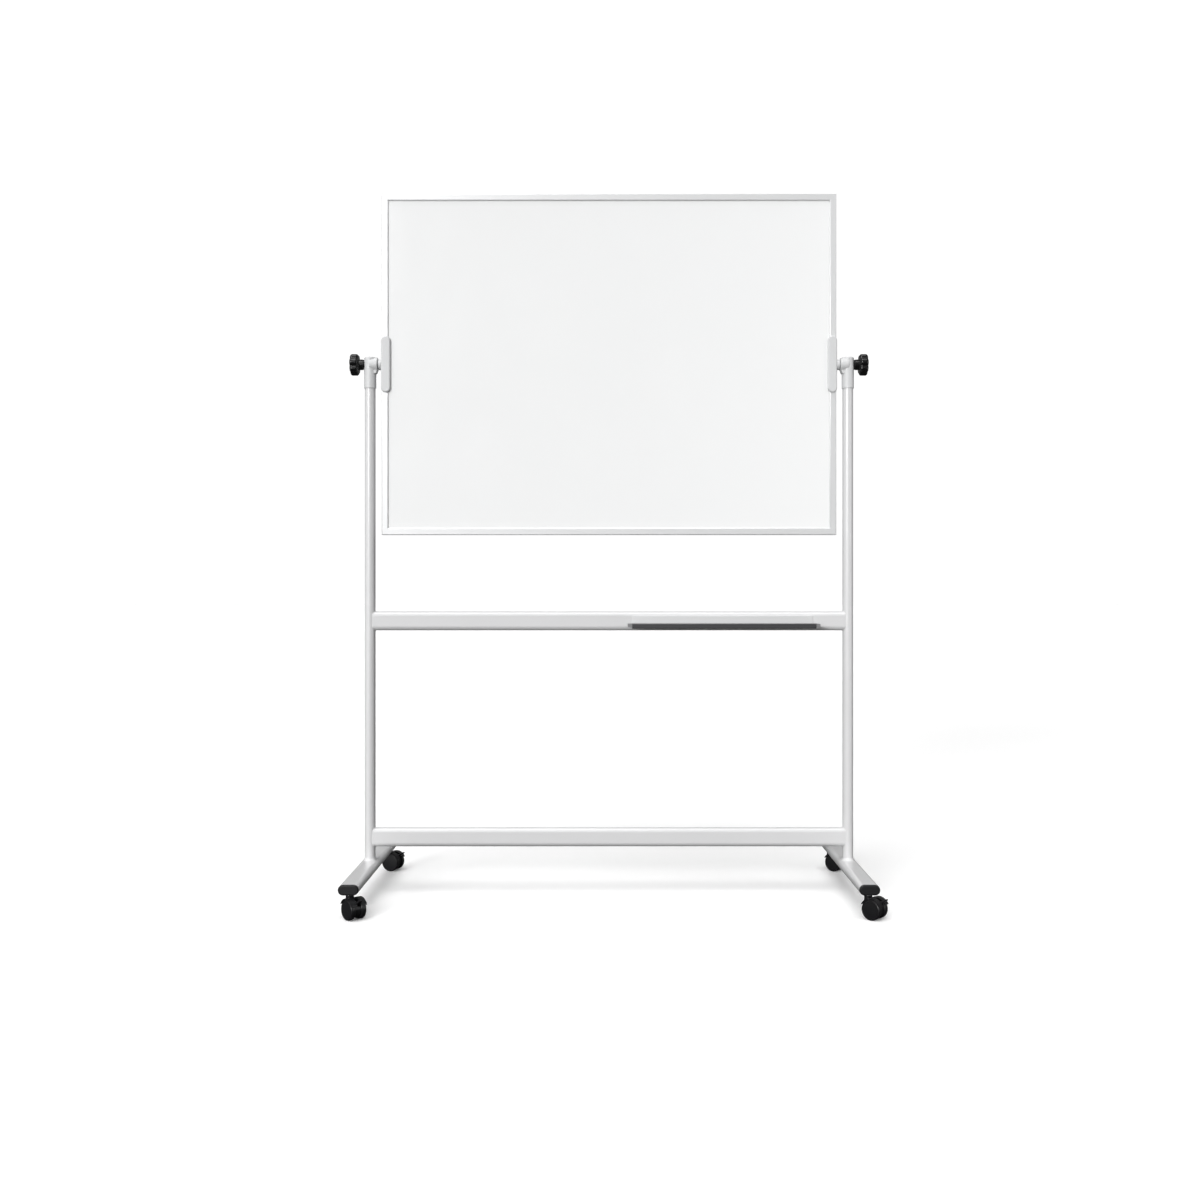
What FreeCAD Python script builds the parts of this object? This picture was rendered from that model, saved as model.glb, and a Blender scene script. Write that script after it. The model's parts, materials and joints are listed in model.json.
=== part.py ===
"""Rolling reversible whiteboard, a parametric FreeCAD document in millimetres.

A double-sided board turns end over end about a level axis between two round posts.
Each post stands on a flat-oval foot with two twin-wheel swivel casters, two flat-oval
crossbars tie the posts, and a pen tray is held by magnets to the middle crossbar.

Frame: +Z up, +X to the viewer's right, the viewer at -Y.  The origin is on the floor,
midway between the posts and on the plane through their axes.
"""
import FreeCAD, Part
import os
import re

import Sketcher
from FreeCAD import Placement, Rotation, Vector

# Driving dimensions (alias, value, meaning).  Plain numbers, millimetres or degrees.
SIZES = [
    # the board
    ("board_wide", 1200, "board over its frame, left to right"),
    ("board_high", 900, "board over its frame, bottom to top"),
    ("board_deep", 20, "depth of the frame section"),
    ("frame_face", 18, "width of the frame section seen from the front"),
    ("frame_lip", 3, "how far the frame stands above the writing surface"),
    ("frame_round", 2.5, "rounding along the frame's long edges"),
    ("frame_wall", 2, "wall of the frame section"),
    ("panel_grip", 8, "depth of the groove that holds the panel"),
    ("panel_play", 0.5, "room between the panel's edge and the groove's floor"),
    ("skin", 0.5, "thickness of each steel writing sheet"),
    ("key_leg", 45, "length of a corner key's leg"),
    ("key_play", 0.2, "room round a corner key"),
    # the stand
    ("pivot_z", 1394, "height of the board's turning axis"),
    ("post_gap", 17.5, "board's side to the post's surface"),
    ("post_wide", 28, "post diameter"),
    ("tube_wall", 1.5, "wall of the posts, feet and crossbars"),
    ("bar_tall", 50, "long side of the flat-oval tube"),
    ("bar_deep", 25, "short side of the flat-oval tube"),
    ("bar_corner", 12, "corner radius of the flat-oval tube"),
    ("middle_bar_z", 717, "centre height of the middle crossbar"),
    ("lower_bar_z", 146, "centre height of the lower crossbar"),
    ("foot_long", 614, "foot tube, front to rear"),
    ("cap_thick", 8, "part of a foot's end cap outside the tube"),
    ("cap_plug", 6, "part of a foot's end cap inside the tube"),
    ("cap_round", 3, "rounding round a cap's face"),
    ("bead", 1.2, "thickness of a weld bead"),
    ("foot_bead", 4, "size of the weld round a post's foot"),
    ("bead_edge", 0.1, "thickness of that weld's upper edge"),
    # the post heads, hubs and knobs
    ("head_wall", 2, "wall of a post head's sleeve"),
    ("head_above", 20, "top of the head above the axis"),
    ("head_below", 62, "bottom of the head below the axis"),
    ("head_round", 4, "rounding round the head's top"),
    ("boss_wide", 38, "diameter of the head's inner boss"),
    ("boss_rise", 4.5, "inner boss in front of the sleeve"),
    ("boss_round", 2, "rounding round the inner boss"),
    ("gusset_wide", 24, "width of the sloping web under the inner boss"),
    ("flat_wide", 30, "diameter of the flat seat for the washer"),
    ("flat_deep", 0.6, "depth of that seat in the sleeve"),
    ("post_stop", 25, "top of the post below the axis"),
    ("hub_wide", 28, "diameter of the board's pivot hub"),
    ("hub_round", 4, "rounding round the pivot hub"),
    ("spigot_wide", 16, "journal of the hub that turns in the head"),
    ("spigot_stop", 4, "blind end of the head's bearing from the post's axis"),
    ("tail_wide", 12, "hub tail through the bracket and the frame"),
    ("tail_long", 9.5, "length of the hub's tail"),
    ("tail_floor", 2, "blind end of the hub's thread, at the end of its tail"),
    ("stud_wide", 8, "diameter of the clamping stud"),
    ("stud_grip", 15, "length of the stud inside the knob's grip"),
    ("stud_short", 1, "end of the stud outside the board's side"),
    ("washer_wide", 26, "diameter of a knob's washer"),
    ("washer_thick", 1.6, "thickness of a knob's washer"),
    ("knob_neck_wide", 28, "diameter of the knob's neck"),
    ("knob_neck_long", 11.9, "length of the knob's neck"),
    ("grip_wide", 58, "diameter of the star grip over its lobes"),
    ("grip_long", 22, "length of the star grip"),
    ("grip_dome", 7, "rounding round the grip's outer end"),
    ("grip_edge", 2, "rounding round the grip's inner end"),
    ("grip_lobes", 7, "number of lobes"),
    ("scallop", 9, "radius of the hollow between two lobes"),
    ("scallop_depth", 4.5, "depth of that hollow"),
    ("run_clear", 0.05, "radial clearance of a running fit"),
    ("gap", 0.3, "clearance between faces that pass each other"),
    ("over", 1, "how far a cutting shape runs past the face it cuts"),
    # the brackets that grip the board's sides
    ("bracket_wide", 25, "bracket seen from the front, left to right"),
    ("bracket_tall", 149, "bracket from top to bottom"),
    ("bracket_proud", 1.5, "bracket outside the board's side"),
    ("bracket_cover", 5, "bracket in front of the frame's face"),
    ("bracket_round", 4, "rounding round the bracket's face"),
    ("bracket_screw_up", 50, "bracket screw above or below the axis"),
    ("bracket_screw_in", 6, "bracket screw from the board's side"),
    ("screw_wide", 4, "bracket screw shank"),
    ("screw_head_wide", 7, "bracket screw head"),
    ("screw_head_thick", 2.5, "bracket screw head, sunk flush"),
    ("screw_bite", 3, "screw inside the front half's cover"),
    # the pen tray
    ("tray_long", 476, "shelf length"),
    ("tray_x", 298, "centre of the tray to the right of the middle"),
    ("tray_z", 711, "top of the shelf"),
    ("tray_deep", 72, "front of the tray from the crossbar's face"),
    ("tray_lip", 12, "height of the shelf's front flange"),
    ("tray_wall", 2, "wall of the shelf"),
    ("tray_round", 1.2, "rounding along the shelf's front"),
    ("tray_back_thick", 3, "thickness of the back plate"),
    ("tray_back_up", 19, "back plate above the shelf"),
    ("tray_tab_long", 11, "length of an end cap of the shelf"),
    ("tray_tab_high", 8, "height of an end cap of the shelf"),
    ("tray_tab_inset", 4, "end cap behind the shelf's front"),
    ("magnet_wide", 18, "diameter of a magnet"),
    ("magnet_thick", 1.8, "thickness of a magnet"),
    ("magnet_pitch", 140, "distance between magnets"),
    # the casters
    ("caster_head", 10, "underside of the foot above the wheels"),
    ("caster_inset", 17, "caster's swivel axis from the tube's end"),
    ("wheel_wide", 50, "wheel diameter"),
    ("wheel_thick", 14, "width of one wheel"),
    ("wheel_round", 3, "rounding of a wheel's edges"),
    ("wheel_dish", 1.5, "depth of the dished ring in a wheel's side"),
    ("wheel_rim", 6, "wheel's edge outside that ring"),
    ("dish_wide", 4, "width of that ring"),
    ("web_rise", 4, "web inside the wheel's edge"),
    ("web_thick", 15, "housing between the two wheels"),
    ("side_clear", 0.4, "room between a wheel and the housing"),
    ("hood_clear", 0.9, "room between a wheel and the hood"),
    ("hood_wall", 2.4, "wall of the hood"),
    ("hood_open", 12, "hood's lower edge above the axle"),
    ("trail", 18, "axle behind the swivel axis"),
    ("axle_wide", 6, "axle diameter"),
    ("axle_blind", 2, "wheel outside the axle's end"),
    ("stem_wide", 11, "caster stem in its socket"),
    ("swivel_wide", 8, "lower part of the stem, in the housing"),
    ("swivel_deep", 22, "length of that lower part"),
    ("collar_wide", 16, "collar of the stem"),
    ("collar_thick", 2.2, "thickness of the stem's collar"),
    ("stem_boss_wall", 2, "housing's boss outside the collar"),
    ("socket_wide", 18, "socket bush in the foot"),
    ("socket_flange_wide", 22, "flange of the socket under the foot"),
    ("socket_flange", 1.5, "thickness of that flange"),
    ("lever_wide", 10, "width of the brake lever"),
    ("lever_pin_wide", 4, "diameter of the lever's pin"),
    ("lever_behind", 10, "lever pin behind the axle"),
    ("lever_above", 16, "lever pin above the axle"),
    ("lever_long", 24, "lever's tab behind its pin"),
    ("lever_rise", 11, "tip of the tab above its pin"),
    ("lever_tab", 3, "thickness of the tab"),
    ("lever_heel", 4, "lever's heel in front of, above and below its pin"),
    ("lever_knee", 14, "bend in the tab behind its pin"),
    ("lever_knee_rise", 1, "bend in the tab above its pin"),
    ("lever_slot_ahead", 6, "housing's slot in front of the lever's pin"),
    ("lever_slot_below", 7, "housing's slot below the lever's pin"),
    ("front_left_turn", -48, "heading of the front left caster, degrees"),
    ("front_right_turn", -41, "heading of the front right caster, degrees"),
    ("rear_left_turn", -20, "heading of the rear left caster, degrees"),
    ("rear_right_turn", -36, "heading of the rear right caster, degrees"),
]

# Values that follow from the driving dimensions (alias, formula, meaning).
DERIVED = [
    ("post_r", "post_wide / 2", "post radius"),
    ("head_r", "post_r + head_wall", "sleeve radius"),
    ("boss_reach", "head_r + boss_rise", "inner boss face from the post's axis"),
    ("flat_reach", "head_r - flat_deep", "washer's seat from the post's axis"),
    ("wheel_r", "wheel_wide / 2", "wheel radius"),
    ("caster_high", "wheel_wide + caster_head", "underside of the foot"),
    ("lever_back", "trail + lever_behind", "lever pin from the swivel axis"),
    ("lever_up", "wheel_r + lever_above", "lever pin above the floor"),
    ("post_x", "board_wide / 2 + post_gap + post_r", "post axis"),
    ("board_top", "pivot_z + board_high / 2", "top of the board"),
    ("side_in", "board_wide / 2 - frame_face", "inner edge of the side frame"),
    ("panel_half", "board_deep / 2 - frame_lip", "writing surface from the middle"),
    ("panel_wide", "board_wide - 2 * (frame_face - panel_grip + panel_play)", ""),
    ("panel_high", "board_high - 2 * (frame_face - panel_grip + panel_play)", ""),
    ("chamber", "frame_face - panel_grip - 2 * frame_wall", "frame's hollow"),
    ("foot_z", "caster_high + bar_deep / 2", "centre height of a foot"),
    ("foot_top", "caster_high + bar_deep", "top of a foot"),
    ("caster_y", "foot_long / 2 - caster_inset", "swivel axis, front to rear"),
    ("bracket_out", "board_wide / 2 + bracket_proud", "outer side of a bracket"),
    ("bracket_x", "bracket_out - bracket_wide / 2", "middle of a bracket"),
    ("bracket_half", "board_deep / 2 + bracket_cover", "bracket's face"),
    ("screw_x", "board_wide / 2 - bracket_screw_in", "bracket screw"),
    ("boss_face", "post_x - boss_reach", "inner boss face"),
    ("outer_face", "post_x + flat_reach", "washer's seat"),
    ("stud_end", "board_wide / 2 + stud_short", "inner end of the stud"),
    ("neck_x", "outer_face + washer_thick + 2 * gap", "start of the knob"),
    ("grip_x", "neck_x + knob_neck_long", "start of the grip"),
    ("bar_front", "bar_deep / 2 + gap", "back of the tray from the middle"),
    ("tray_front", "bar_deep / 2 + tray_deep", "front of the tray"),
    ("shelf_back", "bar_front + tray_back_thick", "rear edge of the shelf"),
    ("wheel_in", "web_thick / 2 + side_clear", "inner side of a wheel"),
    ("hood_in", "wheel_r + hood_clear", "inside of the hood"),
    ("hood_out", "hood_in + hood_wall", "outside of the hood"),
    ("caster_wide", "2 * (wheel_in + wheel_thick)", "over both wheels"),
    ("collar_z", "caster_high - socket_flange - collar_thick", "under the collar"),
    ("housing_top", "collar_z - gap", "top of the caster's housing"),
]

NAMES = {name for name, _, _ in SIZES + DERIVED}
LONG_EDGE = 40  # an edge longer than this runs along a section, not across it
SAME = 1e-3  # lengths this close are the same
AXIS_TURN = {
    "X": Rotation(Vector(0, 1, 0), 90),
    "Y": Rotation(Vector(1, 0, 0), -90),
    "Z": Rotation(),
}

doc = FreeCAD.newDocument("rolling_whiteboard")


# ---------------------------------------------------------------- the sheet
def fill_sheet():
    """Write the driving and derived dimensions, each with an alias and a note."""
    cells = doc.addObject("Spreadsheet::Sheet", "dims")
    for row, (name, value, note) in enumerate(SIZES + DERIVED, 1):
        cells.set(f"A{row}", name)
        cells.set(f"B{row}", f"={value}" if isinstance(value, str) else str(value))
        cells.set(f"C{row}", note)
        cells.setAlias(f"B{row}", name)
    doc.recompute()
    return cells


dims = fill_sheet()


def linked(formula):
    """Return the formula with every sheet name written as dims.NAME."""
    return re.sub(
        r"[a-z]\w*", lambda m: f"dims.{m[0]}" if m[0] in NAMES else m[0], str(formula)
    )


def number(formula):
    """Return what the formula comes to at the present sizes."""
    return float(dims.evalExpression(linked(formula)))


def bind(thing, **formulas):
    """Bind properties to formulas; a double underscore stands for a dot."""
    for prop, formula in formulas.items():
        thing.setExpression(prop.replace("__", "."), linked(formula))


def place(thing, at, turn=Rotation()):
    """Put a thing at three formulas, turned by a fixed rotation."""
    thing.Placement = Placement(Vector(*[number(f) for f in at]), turn)
    for axis, formula in zip("xyz", at):
        thing.setExpression(f"Placement.Base.{axis}", linked(formula))


# ---------------------------------------------------------------- features
def new_body(label):
    """Start a PartDesign body."""
    body = doc.addObject("PartDesign::Body", label)
    body.Label = label
    return body


def add_feature(body, kind, name):
    """Add a PartDesign feature of this kind and make it the body's tip."""
    feature = body.newObject(f"PartDesign::{kind}", f"{body.Name}_{name}")
    body.Tip = feature
    return feature


def rod(body, name, wide, length, at, along="Z", cut=False):
    """Add or cut a cylinder of this diameter that starts at a point."""
    kind = "SubtractiveCylinder" if cut else "AdditiveCylinder"
    feature = add_feature(body, kind, name)
    bind(feature, Radius=f"({wide}) / 2", Height=length)
    place(feature, at, AXIS_TURN[along])
    return feature


def block(body, name, size, at, cut=False):
    """Add or cut a box from its lowest corner."""
    kind = "SubtractiveBox" if cut else "AdditiveBox"
    feature = add_feature(body, kind, name)
    bind(feature, Length=size[0], Width=size[1], Height=size[2])
    place(feature, at)
    return feature


def soften(body, name, radius, pick):
    """Round the edges of the body's tip that pick(box of the edge) accepts."""
    doc.recompute()
    base = body.Tip
    edges = [
        f"Edge{i}" for i, edge in enumerate(base.Shape.Edges, 1) if pick(edge.BoundBox)
    ]
    if not edges:
        raise RuntimeError(f"{body.Label}: no edge to round for {name}")
    feature = add_feature(body, "Fillet", name)
    feature.Base = (base, edges)
    bind(feature, Radius=radius)


def close(a, b):
    """Tell whether two lengths are the same within a micrometre."""
    return abs(a - b) < SAME


def new_sketch(body, name, role, centre, offset="0"):
    """Start a sketch on one of the body's own origin planes."""
    sketch = body.newObject("Sketcher::SketchObject", f"{body.Name}_{name}_sketch")
    plane = next(f for f in body.Origin.OriginFeatures if f.Role == role)
    sketch.AttachmentSupport = [(plane, "")]
    sketch.MapMode = "FlatFace"
    for axis, formula in zip("xyz", (*centre, offset)):
        sketch.setExpression(f"AttachmentOffset.Base.{axis}", linked(formula))
    return sketch


def hold(sketch, kind, where, formula):
    """Add one dimension to a sketch and bind it to a formula."""
    value = number(formula)
    index = sketch.addConstraint(Sketcher.Constraint(kind, *where, value))
    sketch.setExpression(f"Constraints[{index}]", linked(formula))


def draw_oval(sketch, wide, tall, corner):
    """Draw a rounded rectangle about the sketch's origin."""
    x, y, r = number(wide) / 2, number(tall) / 2, number(corner)
    centres = [(x - r, y - r), (r - x, y - r), (r - x, r - y), (x - r, r - y)]
    for turn, (cx, cy) in enumerate(centres):
        nx, ny = centres[(turn + 1) % 4]
        out = Vector(r, 0, 0)
        start = Rotation(Vector(0, 0, 1), 90 * turn).multVec(out)
        end = Rotation(Vector(0, 0, 1), 90 * (turn + 1)).multVec(out)
        middle = Rotation(Vector(0, 0, 1), 90 * turn + 45).multVec(out)
        here, there = Vector(cx, cy, 0), Vector(nx, ny, 0)
        sketch.addGeometry(Part.Arc(here + start, here + middle, here + end), False)
        sketch.addGeometry(Part.LineSegment(here + end, there + end), False)
    for i in range(8):
        sketch.addConstraint(Sketcher.Constraint("Tangent", i, 2, (i + 1) % 8, 1))
    for line, kind in ((1, "Horizontal"), (5, "Horizontal"), (3, "Vertical"), (7, "Vertical")):
        sketch.addConstraint(Sketcher.Constraint(kind, line))
    for arc in (2, 4, 6):
        sketch.addConstraint(Sketcher.Constraint("Equal", 0, arc))
    hold(sketch, "Radius", (0,), corner)
    hold(sketch, "DistanceY", (-1, 1, 1, 1), f"({tall}) / 2")
    hold(sketch, "DistanceX", (-1, 1, 3, 1), f"-({wide}) / 2")
    hold(sketch, "DistanceY", (-1, 1, 5, 1), f"-({tall}) / 2")
    hold(sketch, "DistanceX", (-1, 1, 7, 1), f"({wide}) / 2")


def draw_slot(sketch, wide, tall):
    """Draw an upright slot with half-round ends about the sketch's origin."""
    r, h = number(wide) / 2, (number(tall) - number(wide)) / 2
    top, low = Vector(0, h, 0), Vector(0, -h, 0)
    right, up = Vector(r, 0, 0), Vector(0, r, 0)
    sketch.addGeometry(Part.Arc(top + right, top + up, top - right), False)
    sketch.addGeometry(Part.LineSegment(top - right, low - right), False)
    sketch.addGeometry(Part.Arc(low - right, low - up, low + right), False)
    sketch.addGeometry(Part.LineSegment(low + right, top + right), False)
    for i in range(4):
        sketch.addConstraint(Sketcher.Constraint("Tangent", i, 2, (i + 1) % 4, 1))
    sketch.addConstraint(Sketcher.Constraint("Vertical", 1))
    sketch.addConstraint(Sketcher.Constraint("PointOnObject", 0, 3, -2))
    hold(sketch, "Radius", (0,), f"({wide}) / 2")
    hold(sketch, "DistanceY", (-1, 1, 0, 3), f"({tall} - {wide}) / 2")
    hold(sketch, "DistanceY", (-1, 1, 2, 3), f"-({tall} - {wide}) / 2")


def draw_polygon(sketch, corners):
    """Draw a closed outline through corners, each given as two formulas."""
    points = [Vector(number(a), number(b), 0) for a, b in corners]
    first = sketch.GeometryCount
    count = len(points)
    for i in range(count):
        line = Part.LineSegment(points[i], points[(i + 1) % count])
        sketch.addGeometry(line, False)
    for i in range(count):
        joined = (first + i, 2, first + (i + 1) % count, 1)
        sketch.addConstraint(Sketcher.Constraint("Coincident", *joined))
    for i, (a, b) in enumerate(corners):
        hold(sketch, "DistanceX", (-1, 1, first + i, 1), a)
        hold(sketch, "DistanceY", (-1, 1, first + i, 1), b)


def extrude(body, name, sketch, length, cut=False):
    """Pad or pocket a sketch by half the length to each side of its plane."""
    feature = add_feature(body, "Pocket" if cut else "Pad", name)
    feature.Profile = sketch
    feature.Midplane = True
    bind(feature, Length=length)
    return feature


def oval_bar(body, name, role, centre, length, grow="0", cut=False):
    """Pad or pocket the flat-oval tube section; grow is added to every side."""
    sketch = new_sketch(body, name, role, centre)
    sides = ("bar_deep", "bar_tall") if role == "YZ_Plane" else ("bar_tall", "bar_deep")
    wide, tall = (f"{side} + 2 * ({grow})" for side in sides)
    draw_oval(sketch, wide, tall, f"bar_corner + ({grow})")
    extrude(body, name, sketch, length, cut)


# ---------------------------------------------------------------- objects
def boolean(kind, label, base, tool):
    """Make a Part boolean, Cut or Common, of two objects."""
    thing = doc.addObject(f"Part::{kind}", label)
    thing.Label = label
    thing.Base, thing.Tool = base, tool
    return thing


def mirror(label, source, normal, base_z="0"):
    """Make the mirror image of an object."""
    thing = doc.addObject("Part::Mirroring", label)
    thing.Label = label
    thing.Source = source
    thing.Normal = Vector(*normal)
    thing.Base = Vector(0, 0, number(base_z))
    thing.setExpression("Base.z", linked(base_z))
    return thing


def group(label, members):
    """Make one sub-part of several separate solids."""
    thing = doc.addObject("Part::Compound", label)
    thing.Label = label
    thing.Links = members
    return thing


def placed(label, source, x, y, turn="0"):
    """Make a copy of an object at a place on the floor plan, turned about Z."""
    thing = group(label, [source])
    thing.Placement = Placement(
        Vector(number(x), number(y), 0), Rotation(Vector(0, 0, 1), number(turn))
    )
    bind(thing, Placement__Base__x=x, Placement__Base__y=y)
    if number(turn):
        bind(thing, Placement__Rotation__Angle=turn)
    return thing


def pair(name, right):
    """Return the left and right sub-parts made from the right-hand one."""
    return [mirror(f"left_{name}", right, (1, 0, 0)), right]


# ---------------------------------------------------------------- the stand
def make_post():
    """Right post: a round tube coped onto the foot, ending inside its head."""
    body = new_body("right_post")
    start = "foot_top - over"
    length = f"pivot_z - post_stop - ({start})"
    rod(body, "outside", "post_wide", length, ("post_x", 0, start))
    inside = "post_wide - 2 * tube_wall"
    low = ("post_x", 0, f"{start} - over")
    rod(body, "inside", inside, f"{length} + 2 * over", low, cut=True)
    oval_bar(body, "cope", "XZ_Plane", ("post_x", "foot_z"), "post_wide + 2 * over", cut=True)
    return body


def make_foot():
    """Right foot: a flat-oval tube, front to rear, bored for the caster sockets."""
    body = new_body("right_foot")
    centre = ("post_x", "foot_z")
    oval_bar(body, "outside", "XZ_Plane", centre, "foot_long")
    oval_bar(body, "inside", "XZ_Plane", centre, "foot_long + 2 * over", "-tube_wall", cut=True)
    for name, sign in (("front", "-"), ("rear", "")):
        at = ("post_x", f"{sign}caster_y", "caster_high - over")
        rod(body, f"{name}_hole", "socket_wide", "tube_wall + 2 * over", at, cut=True)
    return body


def make_crossbar(label, height):
    """A flat-oval tube between the posts, its ends coped onto them."""
    body = new_body(label)
    long = "2 * post_x"
    oval_bar(body, "outside", "YZ_Plane", (0, height), long)
    oval_bar(body, "inside", "YZ_Plane", (0, height), f"{long} + 2 * over", "-tube_wall", cut=True)
    for side, sign in (("left", "-"), ("right", "")):
        at = (f"{sign}post_x", 0, f"{height} - bar_tall")
        rod(body, f"{side}_cope", "post_wide", "2 * bar_tall", at, cut=True)
    return body


def make_foot_cap():
    """Front right end cap: a plug that closes the foot's tube."""
    body = new_body("foot_cap_form")
    face = "-(foot_long / 2 + cap_thick / 2)"
    plug = "-(foot_long / 2 - cap_plug / 2)"
    for name, y, long, grow in (
        ("face", face, "cap_thick", "0"),
        ("plug", plug, "cap_plug", "-tube_wall"),
    ):
        sketch = new_sketch(body, name, "XZ_Plane", ("post_x", "foot_z"), f"-({y})")
        sides = f"bar_tall + 2 * ({grow})", f"bar_deep + 2 * ({grow})"
        draw_oval(sketch, *sides, f"bar_corner + ({grow})")
        extrude(body, name, sketch, long)
    front = -number("foot_long / 2 + cap_thick")
    soften(body, "rounding", "cap_round", lambda b: close(b.YMax, front))
    return body


def make_bar_weld(name, height):
    """Weld beads over and under a crossbar's right end; its flat faces stay clear."""
    shell = new_body(f"{name}_shell")
    start = f"{height} - bar_tall"
    rod(shell, "shell", "post_wide + 2 * bead", "2 * bar_tall", ("post_x", 0, start))
    rod(shell, "hollow", "post_wide", "2 * bar_tall", ("post_x", 0, start), cut=True)
    reach = new_body(f"{name}_reach")
    sketch = new_sketch(reach, "reach", "YZ_Plane", (0, height))
    draw_oval(sketch, "bar_deep", "bar_tall + 2 * bead", "bar_corner")
    extrude(reach, "reach", sketch, "2 * (post_x - bead)")
    inside = new_body(f"{name}_inside")
    oval_bar(inside, "bar", "YZ_Plane", (0, height), "2 * post_x")
    ring = boolean("Common", f"{name}_ring", shell, reach)
    return boolean("Cut", f"{name}_bead", ring, inside)


def make_foot_weld():
    """Flared weld where the right post meets the foot."""
    body = new_body("foot_weld_form")
    cone = add_feature(body, "AdditiveCone", "flare")
    bind(cone, Radius1="post_r + foot_bead", Radius2="post_r + bead_edge", Height="2 * foot_bead")
    place(cone, ("post_x", 0, "foot_top - foot_bead / 2"))
    rod(body, "post", "post_wide", "4 * foot_bead", ("post_x", 0, "foot_top - foot_bead"), cut=True)
    across = "post_wide + 4 * foot_bead"
    oval_bar(body, "foot", "XZ_Plane", ("post_x", "foot_z"), across, cut=True)
    return body


def make_head():
    """Right post head: sleeve over the post, bearing boss on a sloping web, washer seat."""
    body = new_body("right_post_head")
    foot = ("post_x", 0, "pivot_z - head_below")
    rod(body, "sleeve", "2 * head_r", "head_below + head_above", foot)
    top = number("pivot_z + head_above")
    soften(body, "crown", "head_round", lambda b: close(b.ZMin, top))
    rod(body, "boss", "boss_wide", "boss_reach", ("boss_face", 0, "pivot_z"), "X")
    face = number("boss_face")
    soften(body, "boss_edge", "boss_round", lambda b: close(b.XMax, face))
    sketch = new_sketch(body, "gusset", "XZ_Plane", ("post_x", "pivot_z"))
    draw_polygon(sketch, [
        ("0", "-boss_wide / 4"),
        ("-boss_reach + boss_round", "-boss_wide / 4"),
        ("-boss_reach + boss_round", "-boss_wide / 2"),
        ("-head_r", "-(boss_wide / 2 + boss_rise)"),
        ("0", "-(boss_wide / 2 + boss_rise)"),
    ])
    extrude(body, "gusset", sketch, "gusset_wide")
    depth = "head_below - post_stop + over"
    rod(body, "socket", "post_wide", depth, ("post_x", 0, "pivot_z - head_below - over"), cut=True)
    bore = "spigot_wide + 2 * run_clear"
    length = "boss_reach - spigot_stop + over"
    rod(body, "bearing", bore, length, ("boss_face - over", 0, "pivot_z"), "X", cut=True)
    rod(body, "seat", "flat_wide", "head_wall + over", ("outer_face", 0, "pivot_z"), "X", cut=True)
    hole = "stud_wide + 2 * gap"
    at = ("post_x - spigot_stop - over", 0, "pivot_z")
    rod(body, "stud_hole", hole, "head_r + spigot_stop + 2 * over", at, "X", cut=True)
    return body


# ---------------------------------------------------------------- the board
def make_frame_member(label, along):
    """Top or right frame section: rounded, grooved for the panel, mitred at both ends."""
    body = new_body(label)
    half_wide, half_high = "board_wide / 2", "board_high / 2"

    def section(name, near, thick, deep, cut):
        """Box from `near` inside the outer edge, `thick` wide and `deep` in depth."""
        y = f"-({deep}) / 2"
        if along == "X":
            low = ("-board_wide / 2", y, f"board_top - ({near}) - ({thick})")
            size = ("board_wide", deep, thick)
        else:
            low = (f"{half_wide} - ({near}) - ({thick})", y, "pivot_z - board_high / 2")
            size = (thick, deep, "board_high")
        block(body, name, size, low, cut)

    section("bar", "0", "frame_face", "board_deep", False)
    spans = {"X": "XLength", "Z": "ZLength"}[along]
    soften(body, "edges", "frame_round", lambda b: getattr(b, spans) > LONG_EDGE)
    section("groove", "frame_face - panel_grip", "panel_grip + over", "2 * panel_half", True)
    deep = "board_deep - 2 * frame_wall"
    section("hollow", "frame_wall", "chamber", deep, True)
    sketch = new_sketch(body, "mitre", "XZ_Plane", (0, "pivot_z"))
    inner = "frame_face + over"
    for sign in ("", "-"):
        if along == "X":
            draw_polygon(sketch, [
                (f"{sign}({half_wide})", half_high),
                (f"{sign}({half_wide} + over)", half_high),
                (f"{sign}({half_wide} + over)", f"{half_high} - ({inner})"),
                (f"{sign}({half_wide} - ({inner}))", f"{half_high} - ({inner})"),
            ])
        else:
            draw_polygon(sketch, [
                (half_wide, f"{sign}({half_high})"),
                (half_wide, f"{sign}({half_high} + over)"),
                (f"{half_wide} - ({inner})", f"{sign}({half_high} + over)"),
                (f"{half_wide} - ({inner})", f"{sign}({half_high} - ({inner}))"),
            ])
    extrude(body, "mitre", sketch, "board_deep + 2 * over", cut=True)
    if along == "Z":
        rod(body, "tail_hole", "tail_wide", "frame_wall + 2 * over",
            (f"{half_wide} - frame_wall - over", 0, "pivot_z"), "X", cut=True)
        for name, sign in (("upper", "+"), ("lower", "-")):
            at = ("screw_x", "-board_deep", f"pivot_z {sign} bracket_screw_up")
            rod(body, f"{name}_hole", "screw_wide", "2 * board_deep", at, "Y", cut=True)
    return body


def make_panel(label, low_y, thick):
    """One layer of the panel, inside the frame's groove."""
    body = new_body(label)
    corner = ("-panel_wide / 2", low_y, "pivot_z - panel_high / 2")
    block(body, "plate", ("panel_wide", thick, "panel_high"), corner)
    return body


def make_corner_key():
    """Top right corner key: an angle inside the hollows of two frame sections."""
    body = new_body("corner_key_form")
    wall = "frame_wall + key_play"
    thick = "chamber - 2 * key_play"
    deep = "board_deep - 2 * frame_wall - 2 * key_play"
    y = f"-({deep}) / 2"
    x, z = f"board_wide / 2 - ({wall})", f"board_top - ({wall})"
    block(body, "level", ("key_leg", deep, thick), (f"{x} - key_leg", y, f"{z} - ({thick})"))
    block(body, "upright", (thick, deep, "key_leg"), (f"{x} - ({thick})", y, f"{z} - key_leg"))
    return body


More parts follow.
